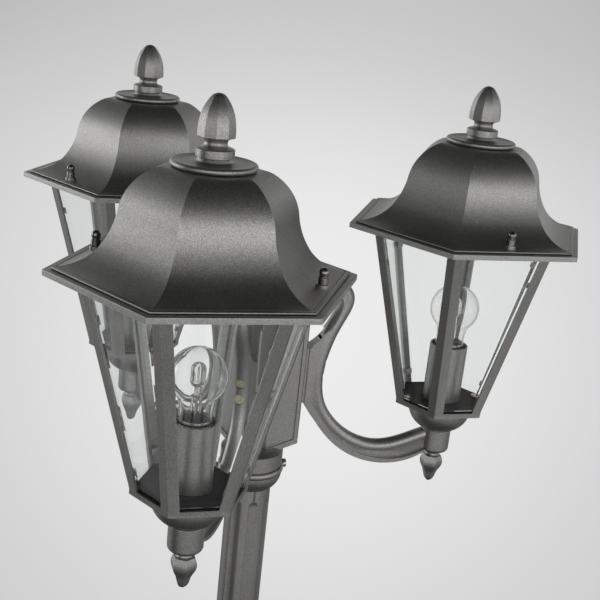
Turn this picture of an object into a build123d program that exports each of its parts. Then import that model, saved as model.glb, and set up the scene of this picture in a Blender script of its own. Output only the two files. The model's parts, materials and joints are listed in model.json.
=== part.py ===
"""Garden lamp post with three hexagonal lanterns on scrolled arms.

Millimetres, Z up. The origin is on the ground, under the middle of the base, and the front lantern
lies towards -Y. Levels of the lanterns, arms and head are measured from the top face of the lanterns'
ring, with levels below it negative, and only the placing at the end lifts them to their height.
"""
import os
from math import atan2, cos, radians, sin, sqrt, tan

from build123d import *

# ---- Driving dimensions ---------------------------------------------------------------------------

# Whole
RING_LEVEL = 2075.0  # top face of the lanterns' ring above the ground
ARM_REACH = 185.0  # post axis to lantern axis
ARM_ANGLES = {"front": -90.0, "right": 30.0, "left": 150.0}

# Clearances
LIFT_GAP = 0.25  # under a piece that lifts off
GLASS_GAP = 0.2  # between a pane and the bars or the floor plate
THREAD_GAP = 0.1  # round a screwed shank in its hole
HOLE_GAP = 0.25  # round a shank that only passes through

# Cage
RING_CORNER = 115.0
RING_INNER_CORNER = 83.0
RING_HEIGHT = 4.6
RING_EDGE = 0.7
CAGE_TOP_CORNER = 91.0
CAGE_BOTTOM_CORNER = 46.5
CAGE_DEPTH = 172.0  # ring's top face to the bottom ring's top face
BAR_FLANGE = 8.5
BAR_WALL = 2.2
BOTTOM_RING_HEIGHT = 4.5
BOTTOM_RING_INNER_CORNER = 27.0

# Panes and clips
PANE_THICKNESS = 3.0
PANE_BEVEL_WIDTH = 4.5
PANE_BEVEL_DROP = 1.2
PANE_SIDE_GAP = 1.0
CLIP_THICKNESS = 1.0
CLIP_HALF_WIDTH = 3.6
CLIP_HEIGHT = 5.0
CLIP_SHARES = (0.221, 0.93)  # of the cage's depth, below the ring's top face

# Floor plate, sleeve and lampholder
FLOOR_THICKNESS = 1.0
FLOOR_SCREW_RADIUS_OUT = 34.5
FLOOR_SCREW_SHANK = 1.5
FLOOR_SCREW_LENGTH = 5.0
FLOOR_SCREW_HEAD = 3.1
FLOOR_SCREW_HEAD_HEIGHT = 2.0
FLOOR_SCREW_SLOT_WIDTH = 0.6
FLOOR_SCREW_SLOT_DEPTH = 0.8
SLEEVE_RADIUS = 17.3
SLEEVE_WALL = 1.4
SLEEVE_TOP = -116.0
HOLDER_WALL = 1.9
HOLDER_INSET = 2.5  # holder's mouth below the sleeve's mouth
HOLDER_SHOULDER = 2.0

# Nipple and its nut
NIPPLE_RADIUS = 4.0
NIPPLE_BORE = 2.8
NIPPLE_INTO_HOLDER = 10.0
NIPPLE_INTO_FINIAL = 9.0
NIPPLE_NUT_CORNER = 7.5
NIPPLE_NUT_HEIGHT = 4.0

# Bulb
BULB_RADIUS = 22.5
BULB_CENTRE = -80.0
BULB_WALL = 0.8
BULB_NECK_RADIUS = 12.6
BULB_NECK_RISE = 2.0  # straight part of the neck above the cap
BULB_JOIN_ANGLE = -42.0  # where the neck's curve meets the ball, below its middle
BULB_CAP_RADIUS = 13.2
BULB_CAP_TOP = -113.0
BULB_CAP_HEIGHT = 22.0
BULB_CAP_WALL = 0.6
BULB_CAP_TURNS = 5
BULB_CONTACT_RADIUS = 4.5
BULB_CONTACT_HEIGHT = 3.0
CAPSULE_RADIUS = 5.8
CAPSULE_TOP = -69.0
CAPSULE_BOTTOM = -88.0
PINCH_RADIUS = 3.48
STEM_RADIUS = 4.2
STEM_TOP = -91.0
LEAD_RADIUS = 0.9
LEAD_OUT = 8.0

# Roof: corner radii and levels of the hips
EAVE_CORNER = 109.5
EAVE_BEAD = 1.8
EAVE_BEAD_WIDTH = 3.0
EAVE_GROOVE_WIDTH = 0.8
EAVE_GROOVE_DEPTH = 0.5
FLARE_CORNER = 75.3
FLARE_LEVEL = 19.0
WAIST_CORNER = 65.2
WAIST_LEVEL = 43.5
SHOULDER_CORNER = 56.8
SHOULDER_LEVEL = 61.8
CROWN_EDGE_CORNER = 44.0
CROWN_EDGE_LEVEL = 72.3
CROWN_CORNER = 34.0
CROWN_LEVEL = 75.0
ROOF_WALL = 2.2
ROOF_BOSS_RADIUS = 7.0
ROOF_BOSS_DEPTH = 9.0

# Roof studs and cap nuts
STUD_OUT = 85.7
STUD_RADIUS = 2.0
STUD_LENGTH_IN_NUT = 6.0
STUD_BOSS_RADIUS = 4.8
STUD_BOSS_LEVEL = 5.4
NUT_RADIUS = 3.6
NUT_HEIGHT = 12.0
NUT_BASE_HEIGHT = 4.8
NUT_WAIST = 0.6

# Disc and finial
DISC_RADIUS = 31.0
DISC_HEIGHT = 5.0
DISC_ROUNDING = 2.3
DISC_DISH = 0.9
DISC_BOSS_RADIUS = 11.5
DISC_BOSS_HEIGHT = 7.6
COLLAR_RADIUS = 13.8
COLLAR_HEIGHT = 6.8
COLLAR_EDGE = 0.8
FINIAL_NECK_RADIUS = 8.2
FINIAL_NECK_HEIGHT = 7.2  # collar's top to the bud's base
BUD_RADIUS = 13.3
BUD_HEIGHT = 30.1
BUD_SIDES = 10
BUD_SHAPE = ((0.94, 0.4), (0.76, 0.66), (0.48, 0.87))  # shares of its radius and height
FINIAL_SHANK = 3.0
FINIAL_SHANK_LENGTH = 15.0

# Cup, socket boss and drop finial
CUP_RADIUS = 30.0
CUP_LIP = 3.5
CUP_FOOT_RADIUS = 15.5
CUP_HEIGHT = 25.5
CUP_WALL = 2.5
CUP_BULGE = 2.94
BOSS_RADIUS = 14.5
BOSS_HEIGHT = 25.0
BOSS_ROUNDING = 4.0
BOSS_BEAD = 0.9
DROP_TOP_RADIUS = 8.0
DROP_TOP_HEIGHT = 1.6
DROP_NECK_RADIUS = 5.8
DROP_NECK_HEIGHT = 4.6
DROP_RADIUS = 9.6
DROP_WIDEST = 13.0
DROP_HEIGHT = 35.0
DROP_SIDES = 6
DROP_LOWER_SHARE = 0.62  # of the widest radius, half way down to the tip

# Arm: its front is a half-round of one radius, its side view is drawn in arm_outline
ARM_ROUND_RADIUS = 6.6
ARM_ROUND_STEPS = 14
ARM_WEB_INSET = 0.7
ARM_LIP_HALF_WIDTH = 9.5
ARM_LIP_SHIFT = (3.0, 4.0)
ARM_HOLLOW_SHIFT = (-5.0, -6.0)
ARM_HOLLOW_HALF_WIDTH = 4.6
ARM_HOLLOW_TOP = -108.0
ARM_PAD_TOP = -118.0
ARM_PAD_BOTTOM = -172.0
ARM_BOSS_OVERLAP = 1.45  # how far the arm's end stands inside the socket boss
ARM_END_DROP = 1.0  # arm's end below the cup
ARM_END_RISE = 1.5  # arm's end above the boss's bottom

# Curl and riser of the arm, as (distance from the head, level)
CURL_FRONT = (32.3, -57.7)
CURL_TIP = (23.2, -59.4)
CURL_BACK = (24.9, -68.5)
RISER_FRONT = ((39.8, -68.3), (37.7, -83.0), (29.2, -102.0), (22.1, -123.0), (18.3, -150.0))
RISER_BACK = ((27.7, -75.5), (24.6, -87.0), (15.7, -103.5), (7.2, -113.0))

# Sweep of the arm, as shares of the way from the head to the boss and of the drop below the pad
SWEEP_FRONT = ((0.176, 0.04), (0.258, 0.336), (0.41, 0.627), (0.646, 0.784), (0.853, 0.682))
SWEEP_UNDER = ((0.092, 0.327), (0.221, 0.691), (0.466, 1.064), (0.738, 1.169))

# Arm screws
ARM_SCREW_LEVELS = (-132.5, -147.5)
ARM_SCREW_SHANK = 2.5
ARM_SCREW_HEAD = 4.25
ARM_SCREW_HEAD_HEIGHT = 5.0
ARM_SCREW_SOCKET = 2.3
ARM_SCREW_SEAT = 55.5
ARM_SCREW_GRIP = 7.0  # thread in the head's end wall
ARM_SCREW_PILLAR = 6.0

# Head
WING_END = 41.0
WING_HALF_WIDTH = 9.5
WING_VALLEY = 17.0
WING_EDGE = 2.0
WING_BOTTOM_OUT = -213.0
WING_BOTTOM_IN = -220.0
WING_END_WALL = 8.0
HEAD_WALL = 3.2
HEAD_TOP = -88.0
HEAD_FLOOR = -205.0
SEAT_THICKNESS = 2.3
SEAT_HALF_WIDTH = 8.0
PANEL_BORDER = 4.5
PANEL_DEPTH = 1.2
WIRE_HOLE = 3.5
WIRE_HOLE_LEVEL = -164.0
HEAD_CABLE_HOLE = 8.0

# Lid
LID_OVERHANG = 1.8
LID_RIM = 5.0
LID_RISE = 9.0
LID_CROWN = 0.42  # crown's outline as a share of the rim's
LID_SCREW_SHANK = 2.5
LID_SCREW_HEAD = 6.0
LID_SCREW_HEAD_HEIGHT = 5.0
LID_SCREW_ROUNDING = 4.2
LID_BRIDGE_HEIGHT = 6.0
LID_BRIDGE_HALF_WIDTH = 5.0

# Terminal block
BLOCK_LENGTH = 19.0
BLOCK_WIDTH = 9.0
BLOCK_HEIGHT = 12.0
BLOCK_POLES = 3
BLOCK_WELL = 2.0
BLOCK_WELL_DEPTH = 4.0

# Collar under the head
NECK_RADIUS = 29.0
NECK_TOP = -219.0
NECK_BOTTOM = -233.0
NECK_GROOVE = 1.4
NECK_SHOULDER = 5.4
COLLAR_BEAD_RADIUS = 30.8
COLLAR_BEAD_BOTTOM = -240.5
COLLAR_BEAD_FOOT = 29.5
COLLAR_BOTTOM = -256.0
COLLAR_FOOT_WALL = 1.4
SET_SCREW_LEVEL = -237.5
SET_SCREW_SHANK = 2.9
SET_SCREW_HEAD = 4.0
SET_SCREW_HEAD_HEIGHT = 3.0
SET_SCREW_SOCKET = 2.3

# Post
TUBE_RADIUS = 20.7
TUBE_BORE = 17.0
TUBE_TOP = -226.0
FLUTE_COUNT = 8
FLUTE_WIDTH = 10.5
FLUTE_CUTTER = 12.0
FLUTE_TOP_BELOW_COLLAR = 13.0
FLUTE_ANGLE = -58.0
FLUTE_FOOT_ABOVE_COUPLING = 13.0
LOWER_TUBE_RADIUS = 30.0
LOWER_TUBE_BORE = 26.0
LOWER_FLUTE_WIDTH = 15.0
LOWER_FLUTE_CUTTER = 17.0
COUPLING_LEVEL = 1010.0  # top of the lower tube above the ground
COUPLING_HEIGHT = 74.0
COUPLING_SPIGOT = 45.0
COUPLING_SOCKET = 50.0
COUPLING_RADIUS = 37.0
COUPLING_FOOT_LEDGE = 2.0  # beyond the lower tube
COUPLING_FOOT_HEIGHT = 4.0
COUPLING_BELLY_SHARE = 0.35  # of its height
COUPLING_NECK_SHARE = 0.72
COUPLING_LIP_RADIUS = 26.3
COUPLING_BELLY_RISE = 16.0
COUPLING_BELLY_STEP = 3.0
COUPLING_LIP_SWELL = 4.0

# Base
BASE_RADIUS = 120.0
BASE_FLANGE = 9.0
BASE_HEIGHT = 310.0
BASE_WALL = 6.0
BASE_BELL_RADIUS = 92.0
BASE_BELL_LEVEL = 36.0
BASE_STEM_RADIUS = 42.0
BASE_STEM_LEVEL = 190.0
BASE_RING_RADIUS = 47.0
BASE_SOCKET = 90.0
BASE_CABLE_BORE = 15.0
BASE_SLOPE = (0.72, 32.0)  # share of the bell's radius, height above the bell's edge
BASE_FLARE = (1.25, 84.0)  # share of the stem's radius, height above the bell's edge
BASE_TOP_BEAD = (9.0, 14.0)  # below the top, height
BASE_STEM_BEAD = (12.0, 16.0)  # above the stem's foot, height
ANCHOR_INSET = 16.0  # anchor holes from the base's rim
ANCHOR_COUNT = 3
ANCHOR_HOLE = 5.5

# ---- Derived from the above ------------------------------------------------------------------------

FAR = 400.0  # past everything that a cut has to cross at the top of the post
SIDE_COUNT = 6
APOTHEM = cos(radians(180 / SIDE_COUNT))  # a hexagon's side distance for a corner radius of one
BAR_DROP = CAGE_DEPTH - RING_HEIGHT
SIDE_TILT = atan2(APOTHEM * (CAGE_TOP_CORNER - CAGE_BOTTOM_CORNER), BAR_DROP)
CORNER_TILT = atan2(CAGE_TOP_CORNER - CAGE_BOTTOM_CORNER, BAR_DROP)
FLOOR_TOP = -CAGE_DEPTH + FLOOR_THICKNESS
BOTTOM_RING_BOTTOM = -CAGE_DEPTH - BOTTOM_RING_HEIGHT
CUP_BOTTOM = BOTTOM_RING_BOTTOM - CUP_HEIGHT
BOSS_BOTTOM = CUP_BOTTOM - BOSS_HEIGHT
CONTACT_BOTTOM = BULB_CAP_TOP - BULB_CAP_HEIGHT - BULB_CONTACT_HEIGHT
HOLDER_RADIUS = BULB_CAP_RADIUS + LIFT_GAP + HOLDER_WALL
HOLDER_TOP = SLEEVE_TOP - HOLDER_INSET
HEAD_SEAT = WING_END + SEAT_THICKNESS
BORE_IN_COLLAR = TUBE_RADIUS + THREAD_GAP
COLLAR_LEVEL = CROWN_LEVEL + DISC_BOSS_HEIGHT
NUT_LEVEL = STUD_BOSS_LEVEL
ANCHOR_CIRCLE = BASE_RADIUS - ANCHOR_INSET


# ---- Helpers ---------------------------------------------------------------------------------------

def profile_face(*segments):
    """Face in the XZ plane, drawn as (distance from the axis, level) by segments in order."""
    return make_face(Plane.XZ * sum(segments[1:], segments[0]))


def turned(*segments):
    """Solid of revolution about Z of a closed section."""
    return revolve(profile_face(*segments), Axis.Z)


def plate(face, half_width):
    """Solid of even thickness on both sides of a face in the XZ plane."""
    return Pos(0, -half_width, 0) * extrude(face, 2 * half_width, dir=(0, 1, 0))


def post(radius, bottom, top):
    """Upright cylinder on Z between two levels."""
    return Pos(0, 0, bottom) * Cylinder(radius, top - bottom, align=(Align.CENTER, Align.CENTER, Align.MIN))


def radial(radius, inner, outer, level):
    """Cylinder that lies along X between two distances from Z."""
    lying = Cylinder(radius, outer - inner, align=(Align.CENTER, Align.CENTER, Align.MIN))
    return Pos(inner, 0, level) * Rot(0, 90, 0) * lying


def around(shape, count, start=0.0):
    """Copies of a shape, spaced evenly about Z."""
    return [Rot(0, 0, start + 360.0 * number / count) * shape for number in range(count)]


def fused(shapes):
    """One solid from shapes that touch or overlap."""
    return Part() + list(shapes)


def hexagon(corner):
    """Hexagon with corners towards +X and -X."""
    return RegularPolygon(corner, SIDE_COUNT)


def mitred(profile, sides, first_side=0.0):
    """Profile carried round a regular polygon, with sharp mitres at the corners.

    The profile is drawn in the XZ plane, at the middle of a side, from the axis outwards.
    """
    half_angle = radians(180 / sides)
    wedge = Polygon((0, 0), (FAR, -FAR * tan(half_angle)), (FAR, FAR * tan(half_angle)), align=None)
    sector = plate(profile, FAR) & extrude(wedge, FAR, both=True)
    return fused(around(sector, sides, first_side))


def cage_corner(level):
    """Corner radius of the cage's outer faces at a level between its rings."""
    return CAGE_BOTTOM_CORNER + (level + CAGE_DEPTH) * tan(CORNER_TILT)


# ---- Cage ------------------------------------------------------------------------------------------

def bar_section(level):
    """Angle section of a corner bar, with its flanges along the two sides that meet there."""
    corner = cage_corner(level)
    wall = BAR_WALL / cos(SIDE_TILT)
    along = Vector(-0.5, APOTHEM)
    inwards = Vector(-APOTHEM, -0.5)
    tip = Vector(corner, 0)
    end = tip + along * BAR_FLANGE
    end_inside = end + inwards * wall
    valley = Vector(corner - wall / APOTHEM, 0)
    upper = [tip, end, end_inside, valley]
    lower = [Vector(point.X, -point.Y) for point in (end_inside, end)]
    return Pos(0, 0, level) * Polygon(*[(point.X, point.Y) for point in upper + lower], align=None)


def make_cage():
    ring = extrude(hexagon(RING_CORNER), -RING_HEIGHT)
    ring = fillet(ring.edges().filter_by(GeomType.LINE).group_by(Axis.Z)[-1], RING_EDGE)
    ring -= extrude(hexagon(RING_INNER_CORNER), -RING_HEIGHT)
    for side in (90, -90):
        ring -= Rot(0, 0, side) * Pos(STUD_OUT, 0, 0) * post(STUD_RADIUS + THREAD_GAP, -RING_HEIGHT, 0)
    bottom = extrude(hexagon(CAGE_BOTTOM_CORNER) - hexagon(BOTTOM_RING_INNER_CORNER), -BOTTOM_RING_HEIGHT)
    bottom = Pos(0, 0, -CAGE_DEPTH) * bottom
    for side in (0, 180):
        hole = post(FLOOR_SCREW_SHANK + THREAD_GAP, BOTTOM_RING_BOTTOM, -CAGE_DEPTH)
        bottom -= Rot(0, 0, side) * Pos(FLOOR_SCREW_RADIUS_OUT, 0, 0) * hole
    bar = loft([bar_section(-CAGE_DEPTH), bar_section(-RING_HEIGHT)], ruled=True)
    return fused([ring, bottom] + around(bar, SIDE_COUNT))


def make_roof_studs():
    top = NUT_LEVEL + STUD_LENGTH_IN_NUT
    stud = Pos(STUD_OUT, 0, 0) * post(STUD_RADIUS, -RING_HEIGHT, top)
    return around(stud, 2, 90)


# ---- Glass -----------------------------------------------------------------------------------------

def pane_face_distance(level):
    """Distance from the lantern's axis to the outer face of the panes at a level."""
    return APOTHEM * cage_corner(level) - (BAR_WALL + GLASS_GAP) / cos(SIDE_TILT)


def pane_half_width(level):
    """Half width that leaves the side gap between the inner faces of neighbouring panes."""
    inner = pane_face_distance(level) - PANE_THICKNESS * cos(SIDE_TILT)
    return inner * tan(radians(180 / SIDE_COUNT)) - PANE_SIDE_GAP


def make_panes():
    bottom = FLOOR_TOP + GLASS_GAP + PANE_THICKNESS * sin(SIDE_TILT)
    top = -RING_HEIGHT - GLASS_GAP - PANE_THICKNESS * sin(SIDE_TILT)
    length = (top - bottom) / cos(SIDE_TILT)
    low, high = pane_half_width(bottom), pane_half_width(top)
    outline = Polygon((-low, 0), (low, 0), (high, length), (-high, length), align=None)
    flat = extrude(outline, -(PANE_THICKNESS - PANE_BEVEL_DROP))
    inner_outline = offset(outline, -PANE_BEVEL_WIDTH, kind=Kind.INTERSECTION)
    bevel_start = Pos(0, 0, -(PANE_THICKNESS - PANE_BEVEL_DROP)) * outline
    bevel = loft([bevel_start, Pos(0, 0, -PANE_THICKNESS) * inner_outline], ruled=True)
    outwards = (cos(SIDE_TILT), 0, -sin(SIDE_TILT))
    side = Plane((pane_face_distance(bottom), 0, bottom), x_dir=(0, 1, 0), z_dir=outwards)
    return around(side * (flat + bevel), SIDE_COUNT, 180 / SIDE_COUNT)


def make_clip(level):
    """Tab with its foot in the bar's valley and its head across the edges of two panes."""
    valley = cage_corner(level) - BAR_WALL / cos(SIDE_TILT) / APOTHEM
    panes = (GLASS_GAP + PANE_THICKNESS) / cos(SIDE_TILT) / APOTHEM
    reach = panes + CLIP_HALF_WIDTH * tan(radians(30)) + GLASS_GAP
    inwards = (-cos(CORNER_TILT), 0, sin(CORNER_TILT))
    corner = Plane((valley, 0, level), x_dir=(0, 1, 0), z_dir=inwards)
    upright = (Align.CENTER, Align.CENTER, Align.MIN)
    seat = CLIP_THICKNESS / 2 * tan(radians(30)) + GLASS_GAP
    foot = Pos(0, 0, seat) * Box(CLIP_THICKNESS, CLIP_HEIGHT, reach - seat, align=upright)
    head = Pos(0, 0, reach) * Box(2 * CLIP_HALF_WIDTH, CLIP_HEIGHT, CLIP_THICKNESS, align=upright)
    return corner * (foot + head)


def make_clips():
    return [clip for share in CLIP_SHARES for clip in around(make_clip(-share * CAGE_DEPTH), SIDE_COUNT)]


# ---- Floor, sleeve and lampholder ------------------------------------------------------------------

def make_floor_plate():
    corner = CAGE_BOTTOM_CORNER - (BAR_WALL + GLASS_GAP) / cos(SIDE_TILT) / APOTHEM
    plate = Pos(0, 0, -CAGE_DEPTH) * extrude(hexagon(corner), FLOOR_THICKNESS)
    plate -= post(NIPPLE_RADIUS + HOLE_GAP, -CAGE_DEPTH, FLOOR_TOP)
    for side in (0, 180):
        hole = post(FLOOR_SCREW_SHANK + HOLE_GAP, -CAGE_DEPTH, FLOOR_TOP)
        plate -= Rot(0, 0, side) * Pos(FLOOR_SCREW_RADIUS_OUT, 0, 0) * hole
    return plate


def make_floor_screws():
    shank = post(FLOOR_SCREW_SHANK, FLOOR_TOP - FLOOR_SCREW_LENGTH, FLOOR_TOP)
    head = post(FLOOR_SCREW_HEAD, FLOOR_TOP, FLOOR_TOP + FLOOR_SCREW_HEAD_HEIGHT)
    head = fillet(head.edges().group_by(Axis.Z)[-1], FLOOR_SCREW_HEAD_HEIGHT / 2)
    slot = Box(FLOOR_SCREW_SHANK, FLOOR_SCREW_SLOT_WIDTH, 2 * FLOOR_SCREW_SLOT_DEPTH)
    slot = Pos(0, 0, FLOOR_TOP + FLOOR_SCREW_HEAD_HEIGHT) * slot
    cross = slot + Rot(0, 0, 90) * slot
    screw = Pos(FLOOR_SCREW_RADIUS_OUT, 0, 0) * (shank + head - cross)
    return around(screw, 2)


def make_sleeve():
    inside = post(SLEEVE_RADIUS - SLEEVE_WALL, FLOOR_TOP, SLEEVE_TOP)
    return post(SLEEVE_RADIUS, FLOOR_TOP, SLEEVE_TOP) - inside


def make_lampholder():
    body = post(HOLDER_RADIUS, FLOOR_TOP, HOLDER_TOP)
    body = chamfer(body.edges().group_by(Axis.Z)[0], HOLDER_SHOULDER)
    body -= post(HOLDER_RADIUS - HOLDER_WALL, CONTACT_BOTTOM - LIFT_GAP, HOLDER_TOP)
    return body - post(NIPPLE_RADIUS + THREAD_GAP, FLOOR_TOP, FLOOR_TOP + NIPPLE_INTO_HOLDER)


def make_nipple():
    bottom = BOSS_BOTTOM - NIPPLE_INTO_FINIAL
    top = FLOOR_TOP + NIPPLE_INTO_HOLDER
    return post(NIPPLE_RADIUS, bottom, top) - post(NIPPLE_BORE, bottom, top)


def make_nipple_nut():
    bottom = -CAGE_DEPTH - NIPPLE_NUT_HEIGHT
    nut = Pos(0, 0, bottom) * extrude(hexagon(NIPPLE_NUT_CORNER), NIPPLE_NUT_HEIGHT)
    return nut - post(NIPPLE_RADIUS + THREAD_GAP, bottom, -CAGE_DEPTH)


# ---- Bulb ------------------------------------------------------------------------------------------

def bulb_outline(inset):
    """Envelope, or with an inset the space in it, from the open neck to the top."""
    ball = BULB_RADIUS - inset
    neck = BULB_NECK_RADIUS - inset
    join_angle = radians(BULB_JOIN_ANGLE)
    join = (ball * cos(join_angle), BULB_CENTRE + ball * sin(join_angle))
    side_point = (ball, BULB_CENTRE)
    top = (0, BULB_CENTRE + ball)
    bottom = BULB_CAP_TOP - 2 * BULB_CAP_WALL
    neck_top = (neck, BULB_CAP_TOP + BULB_NECK_RISE)
    return turned(
        Line((0, bottom), (neck, bottom)),
        Line((neck, bottom), neck_top),
        Spline(neck_top, join, tangents=[(0, 1), (-sin(join_angle), cos(join_angle))]),
        TangentArc(join, side_point, tangent=(-sin(join_angle), cos(join_angle))),
        TangentArc(side_point, top, tangent=(0, 1)),
        Line(top, (0, bottom)),
    )


def make_bulb_glass():
    return bulb_outline(0) - bulb_outline(BULB_WALL)


def make_bulb_cap():
    """Threaded shell with a floor and the centre contact."""
    bottom = BULB_CAP_TOP - BULB_CAP_HEIGHT
    pitch = BULB_CAP_HEIGHT / (BULB_CAP_TURNS + 1)
    shell = post(BULB_CAP_RADIUS, bottom, BULB_CAP_TOP)
    for turn in range(BULB_CAP_TURNS):
        level = bottom + pitch * (turn + 1)
        shell -= Pos(0, 0, level) * Torus(BULB_CAP_RADIUS + pitch / 4, pitch / 2)
    inside = BULB_NECK_RADIUS + THREAD_GAP
    shell -= post(inside, BULB_CAP_TOP - 2 * BULB_CAP_WALL, BULB_CAP_TOP)
    shell -= post(BULB_NECK_RADIUS - 2 * BULB_WALL, bottom + BULB_CAP_WALL, BULB_CAP_TOP)
    contact = post(BULB_CONTACT_RADIUS, bottom - BULB_CONTACT_HEIGHT, bottom)
    return shell + chamfer(contact.edges().group_by(Axis.Z)[0], BULB_CONTACT_HEIGHT / 2)


def make_bulb_capsule():
    """Quartz capsule on its stem, with two leads that stand on the cap's floor."""
    floor = BULB_CAP_TOP - BULB_CAP_HEIGHT + BULB_CAP_WALL
    capsule = post(CAPSULE_RADIUS, CAPSULE_BOTTOM, CAPSULE_TOP - CAPSULE_RADIUS)
    capsule += Pos(0, 0, CAPSULE_TOP - CAPSULE_RADIUS) * Sphere(CAPSULE_RADIUS)
    pinch = post(PINCH_RADIUS, STEM_TOP, CAPSULE_BOTTOM)
    stem = post(STEM_RADIUS, floor, STEM_TOP)
    lead_top = CAPSULE_BOTTOM
    lead = Pos(-LEAD_OUT, 0, 0) * post(LEAD_RADIUS, floor, lead_top)
    tie = radial(LEAD_RADIUS, -LEAD_OUT, 0, lead_top)
    return fused([capsule, pinch, stem, lead, tie])


# ---- Cup and drop finial ---------------------------------------------------------------------------

def cup_outline(wall):
    rim = CUP_RADIUS - wall
    foot = CUP_FOOT_RADIUS - wall
    bottom = CUP_BOTTOM + wall
    lip = BOTTOM_RING_BOTTOM - CUP_LIP
    middle = ((rim + foot) / 2 + CUP_BULGE, (lip + bottom) / 2 - CUP_BULGE)
    return turned(
        Line((0, BOTTOM_RING_BOTTOM), (rim, BOTTOM_RING_BOTTOM)),
        Line((rim, BOTTOM_RING_BOTTOM), (rim, lip)),
        ThreePointArc((rim, lip), middle, (foot, bottom)),
        Line((foot, bottom), (0, bottom)),
        Line((0, bottom), (0, BOTTOM_RING_BOTTOM)),
    )


def make_cup():
    cup = cup_outline(0) - cup_outline(CUP_WALL)
    return cup - post(NIPPLE_RADIUS + HOLE_GAP, CUP_BOTTOM, CUP_BOTTOM + CUP_WALL)


def make_drop_finial():
    top = BOSS_BOTTOM
    neck_top = top - DROP_TOP_HEIGHT
    neck_bottom = neck_top - DROP_NECK_HEIGHT
    widest = top - DROP_WIDEST
    tip = top - DROP_HEIGHT
    neck_middle = (DROP_NECK_RADIUS, (neck_top + neck_bottom) / 2)
    stalk = turned(
        Polyline((0, top), (DROP_TOP_RADIUS, top), (DROP_TOP_RADIUS, neck_top)),
        ThreePointArc((DROP_TOP_RADIUS, neck_top), neck_middle, (DROP_TOP_RADIUS, neck_bottom)),
        Polyline((DROP_TOP_RADIUS, neck_bottom), (0, neck_bottom), (0, top)),
    )
    side = profile_face(
        Line((0, neck_bottom), (DROP_TOP_RADIUS, neck_bottom)),
        Spline((DROP_TOP_RADIUS, neck_bottom), (DROP_RADIUS, widest), tangents=[(0.3, -1), (0, -1)]),
        Spline((DROP_RADIUS, widest), (DROP_RADIUS * DROP_LOWER_SHARE, (widest + tip) / 2), (0, tip),
               tangents=[(0, -1), (-1, -0.25)]),
        Line((0, tip), (0, neck_bottom)),
    )
    finial = stalk + mitred(side, DROP_SIDES)
    return finial - post(NIPPLE_RADIUS + THREAD_GAP, top - NIPPLE_INTO_FINIAL, top)


# ---- Roof ------------------------------------------------------------------------------------------

def roof_profile():
    """Side of the roof's outer surface, down to its seat, at the middle of a side."""
    eave = EAVE_CORNER * APOTHEM
    bottom = LIFT_GAP
    bead_top = bottom + EAVE_BEAD
    bead_in = eave - EAVE_BEAD_WIDTH
    groove_in = bead_in - EAVE_GROOVE_WIDTH
    groove_bottom = bead_top - EAVE_GROOVE_DEPTH
    flare = (FLARE_CORNER * APOTHEM, FLARE_LEVEL)
    waist = (WAIST_CORNER * APOTHEM, WAIST_LEVEL)
    shoulder = (SHOULDER_CORNER * APOTHEM, SHOULDER_LEVEL)
    crown_edge = (CROWN_EDGE_CORNER * APOTHEM, CROWN_EDGE_LEVEL)
    crown = (CROWN_CORNER * APOTHEM, CROWN_LEVEL)
    side = ThreePointArc(crown_edge, shoulder, waist)
    upper_flare = TangentArc(waist, flare, tangent=side % 1)
    lower_flare = TangentArc(flare, (groove_in, bead_top), tangent=upper_flare % 1)
    crown_turn = TangentArc(crown_edge, crown, tangent=-(side % 0))
    return profile_face(
        Line((0, bottom), (eave - EAVE_BEAD / 2, bottom)),
        ThreePointArc((eave - EAVE_BEAD / 2, bottom), (eave, bottom + EAVE_BEAD / 2),
                      (eave - EAVE_BEAD / 2, bead_top)),
        Polyline((eave - EAVE_BEAD / 2, bead_top), (bead_in, bead_top), (bead_in, groove_bottom),
                 (groove_in, groove_bottom), (groove_in, bead_top)),
        lower_flare,
        upper_flare,
        side,
        crown_turn,
        Polyline(crown, (0, CROWN_LEVEL), (0, bottom)),
    )


def make_roof():
    outer = roof_profile()
    inner = Pos(-ROOF_WALL, 0, -ROOF_WALL) * outer
    above_seat = Plane.XZ * Pos(0, LIFT_GAP) * Rectangle(FAR, FAR, align=(Align.CENTER, Align.MIN))
    roof = mitred(outer - (inner & above_seat), SIDE_COUNT, 180 / SIDE_COUNT)
    roof += post(ROOF_BOSS_RADIUS, CROWN_LEVEL - ROOF_BOSS_DEPTH, CROWN_LEVEL)
    roof -= post(FINIAL_SHANK + THREAD_GAP, CROWN_LEVEL - ROOF_BOSS_DEPTH, CROWN_LEVEL)
    for side in (90, -90):
        place = Rot(0, 0, side) * Pos(STUD_OUT, 0, 0)
        roof += place * post(STUD_BOSS_RADIUS, LIFT_GAP, STUD_BOSS_LEVEL)
        roof -= place * post(STUD_BOSS_RADIUS, STUD_BOSS_LEVEL, STUD_BOSS_LEVEL + NUT_HEIGHT)
        roof -= place * post(STUD_RADIUS + HOLE_GAP, LIFT_GAP, STUD_BOSS_LEVEL)
    return roof


def make_cap_nuts():
    base_top = NUT_BASE_HEIGHT
    bead = NUT_RADIUS - NUT_WAIST
    dome_start = (NUT_RADIUS, NUT_HEIGHT - NUT_RADIUS)
    nut = turned(
        Polyline((0, 0), (NUT_RADIUS, 0), (NUT_RADIUS, base_top), (bead, base_top + NUT_WAIST), dome_start),
        TangentArc(dome_start, (0, NUT_HEIGHT), tangent=(0, 1)),
        Line((0, NUT_HEIGHT), (0, 0)),
    )
    nut -= post(STUD_RADIUS + HOLE_GAP, 0, STUD_LENGTH_IN_NUT + LIFT_GAP)
    return around(Pos(STUD_OUT, 0, NUT_LEVEL) * nut, 2, 90)


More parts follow.
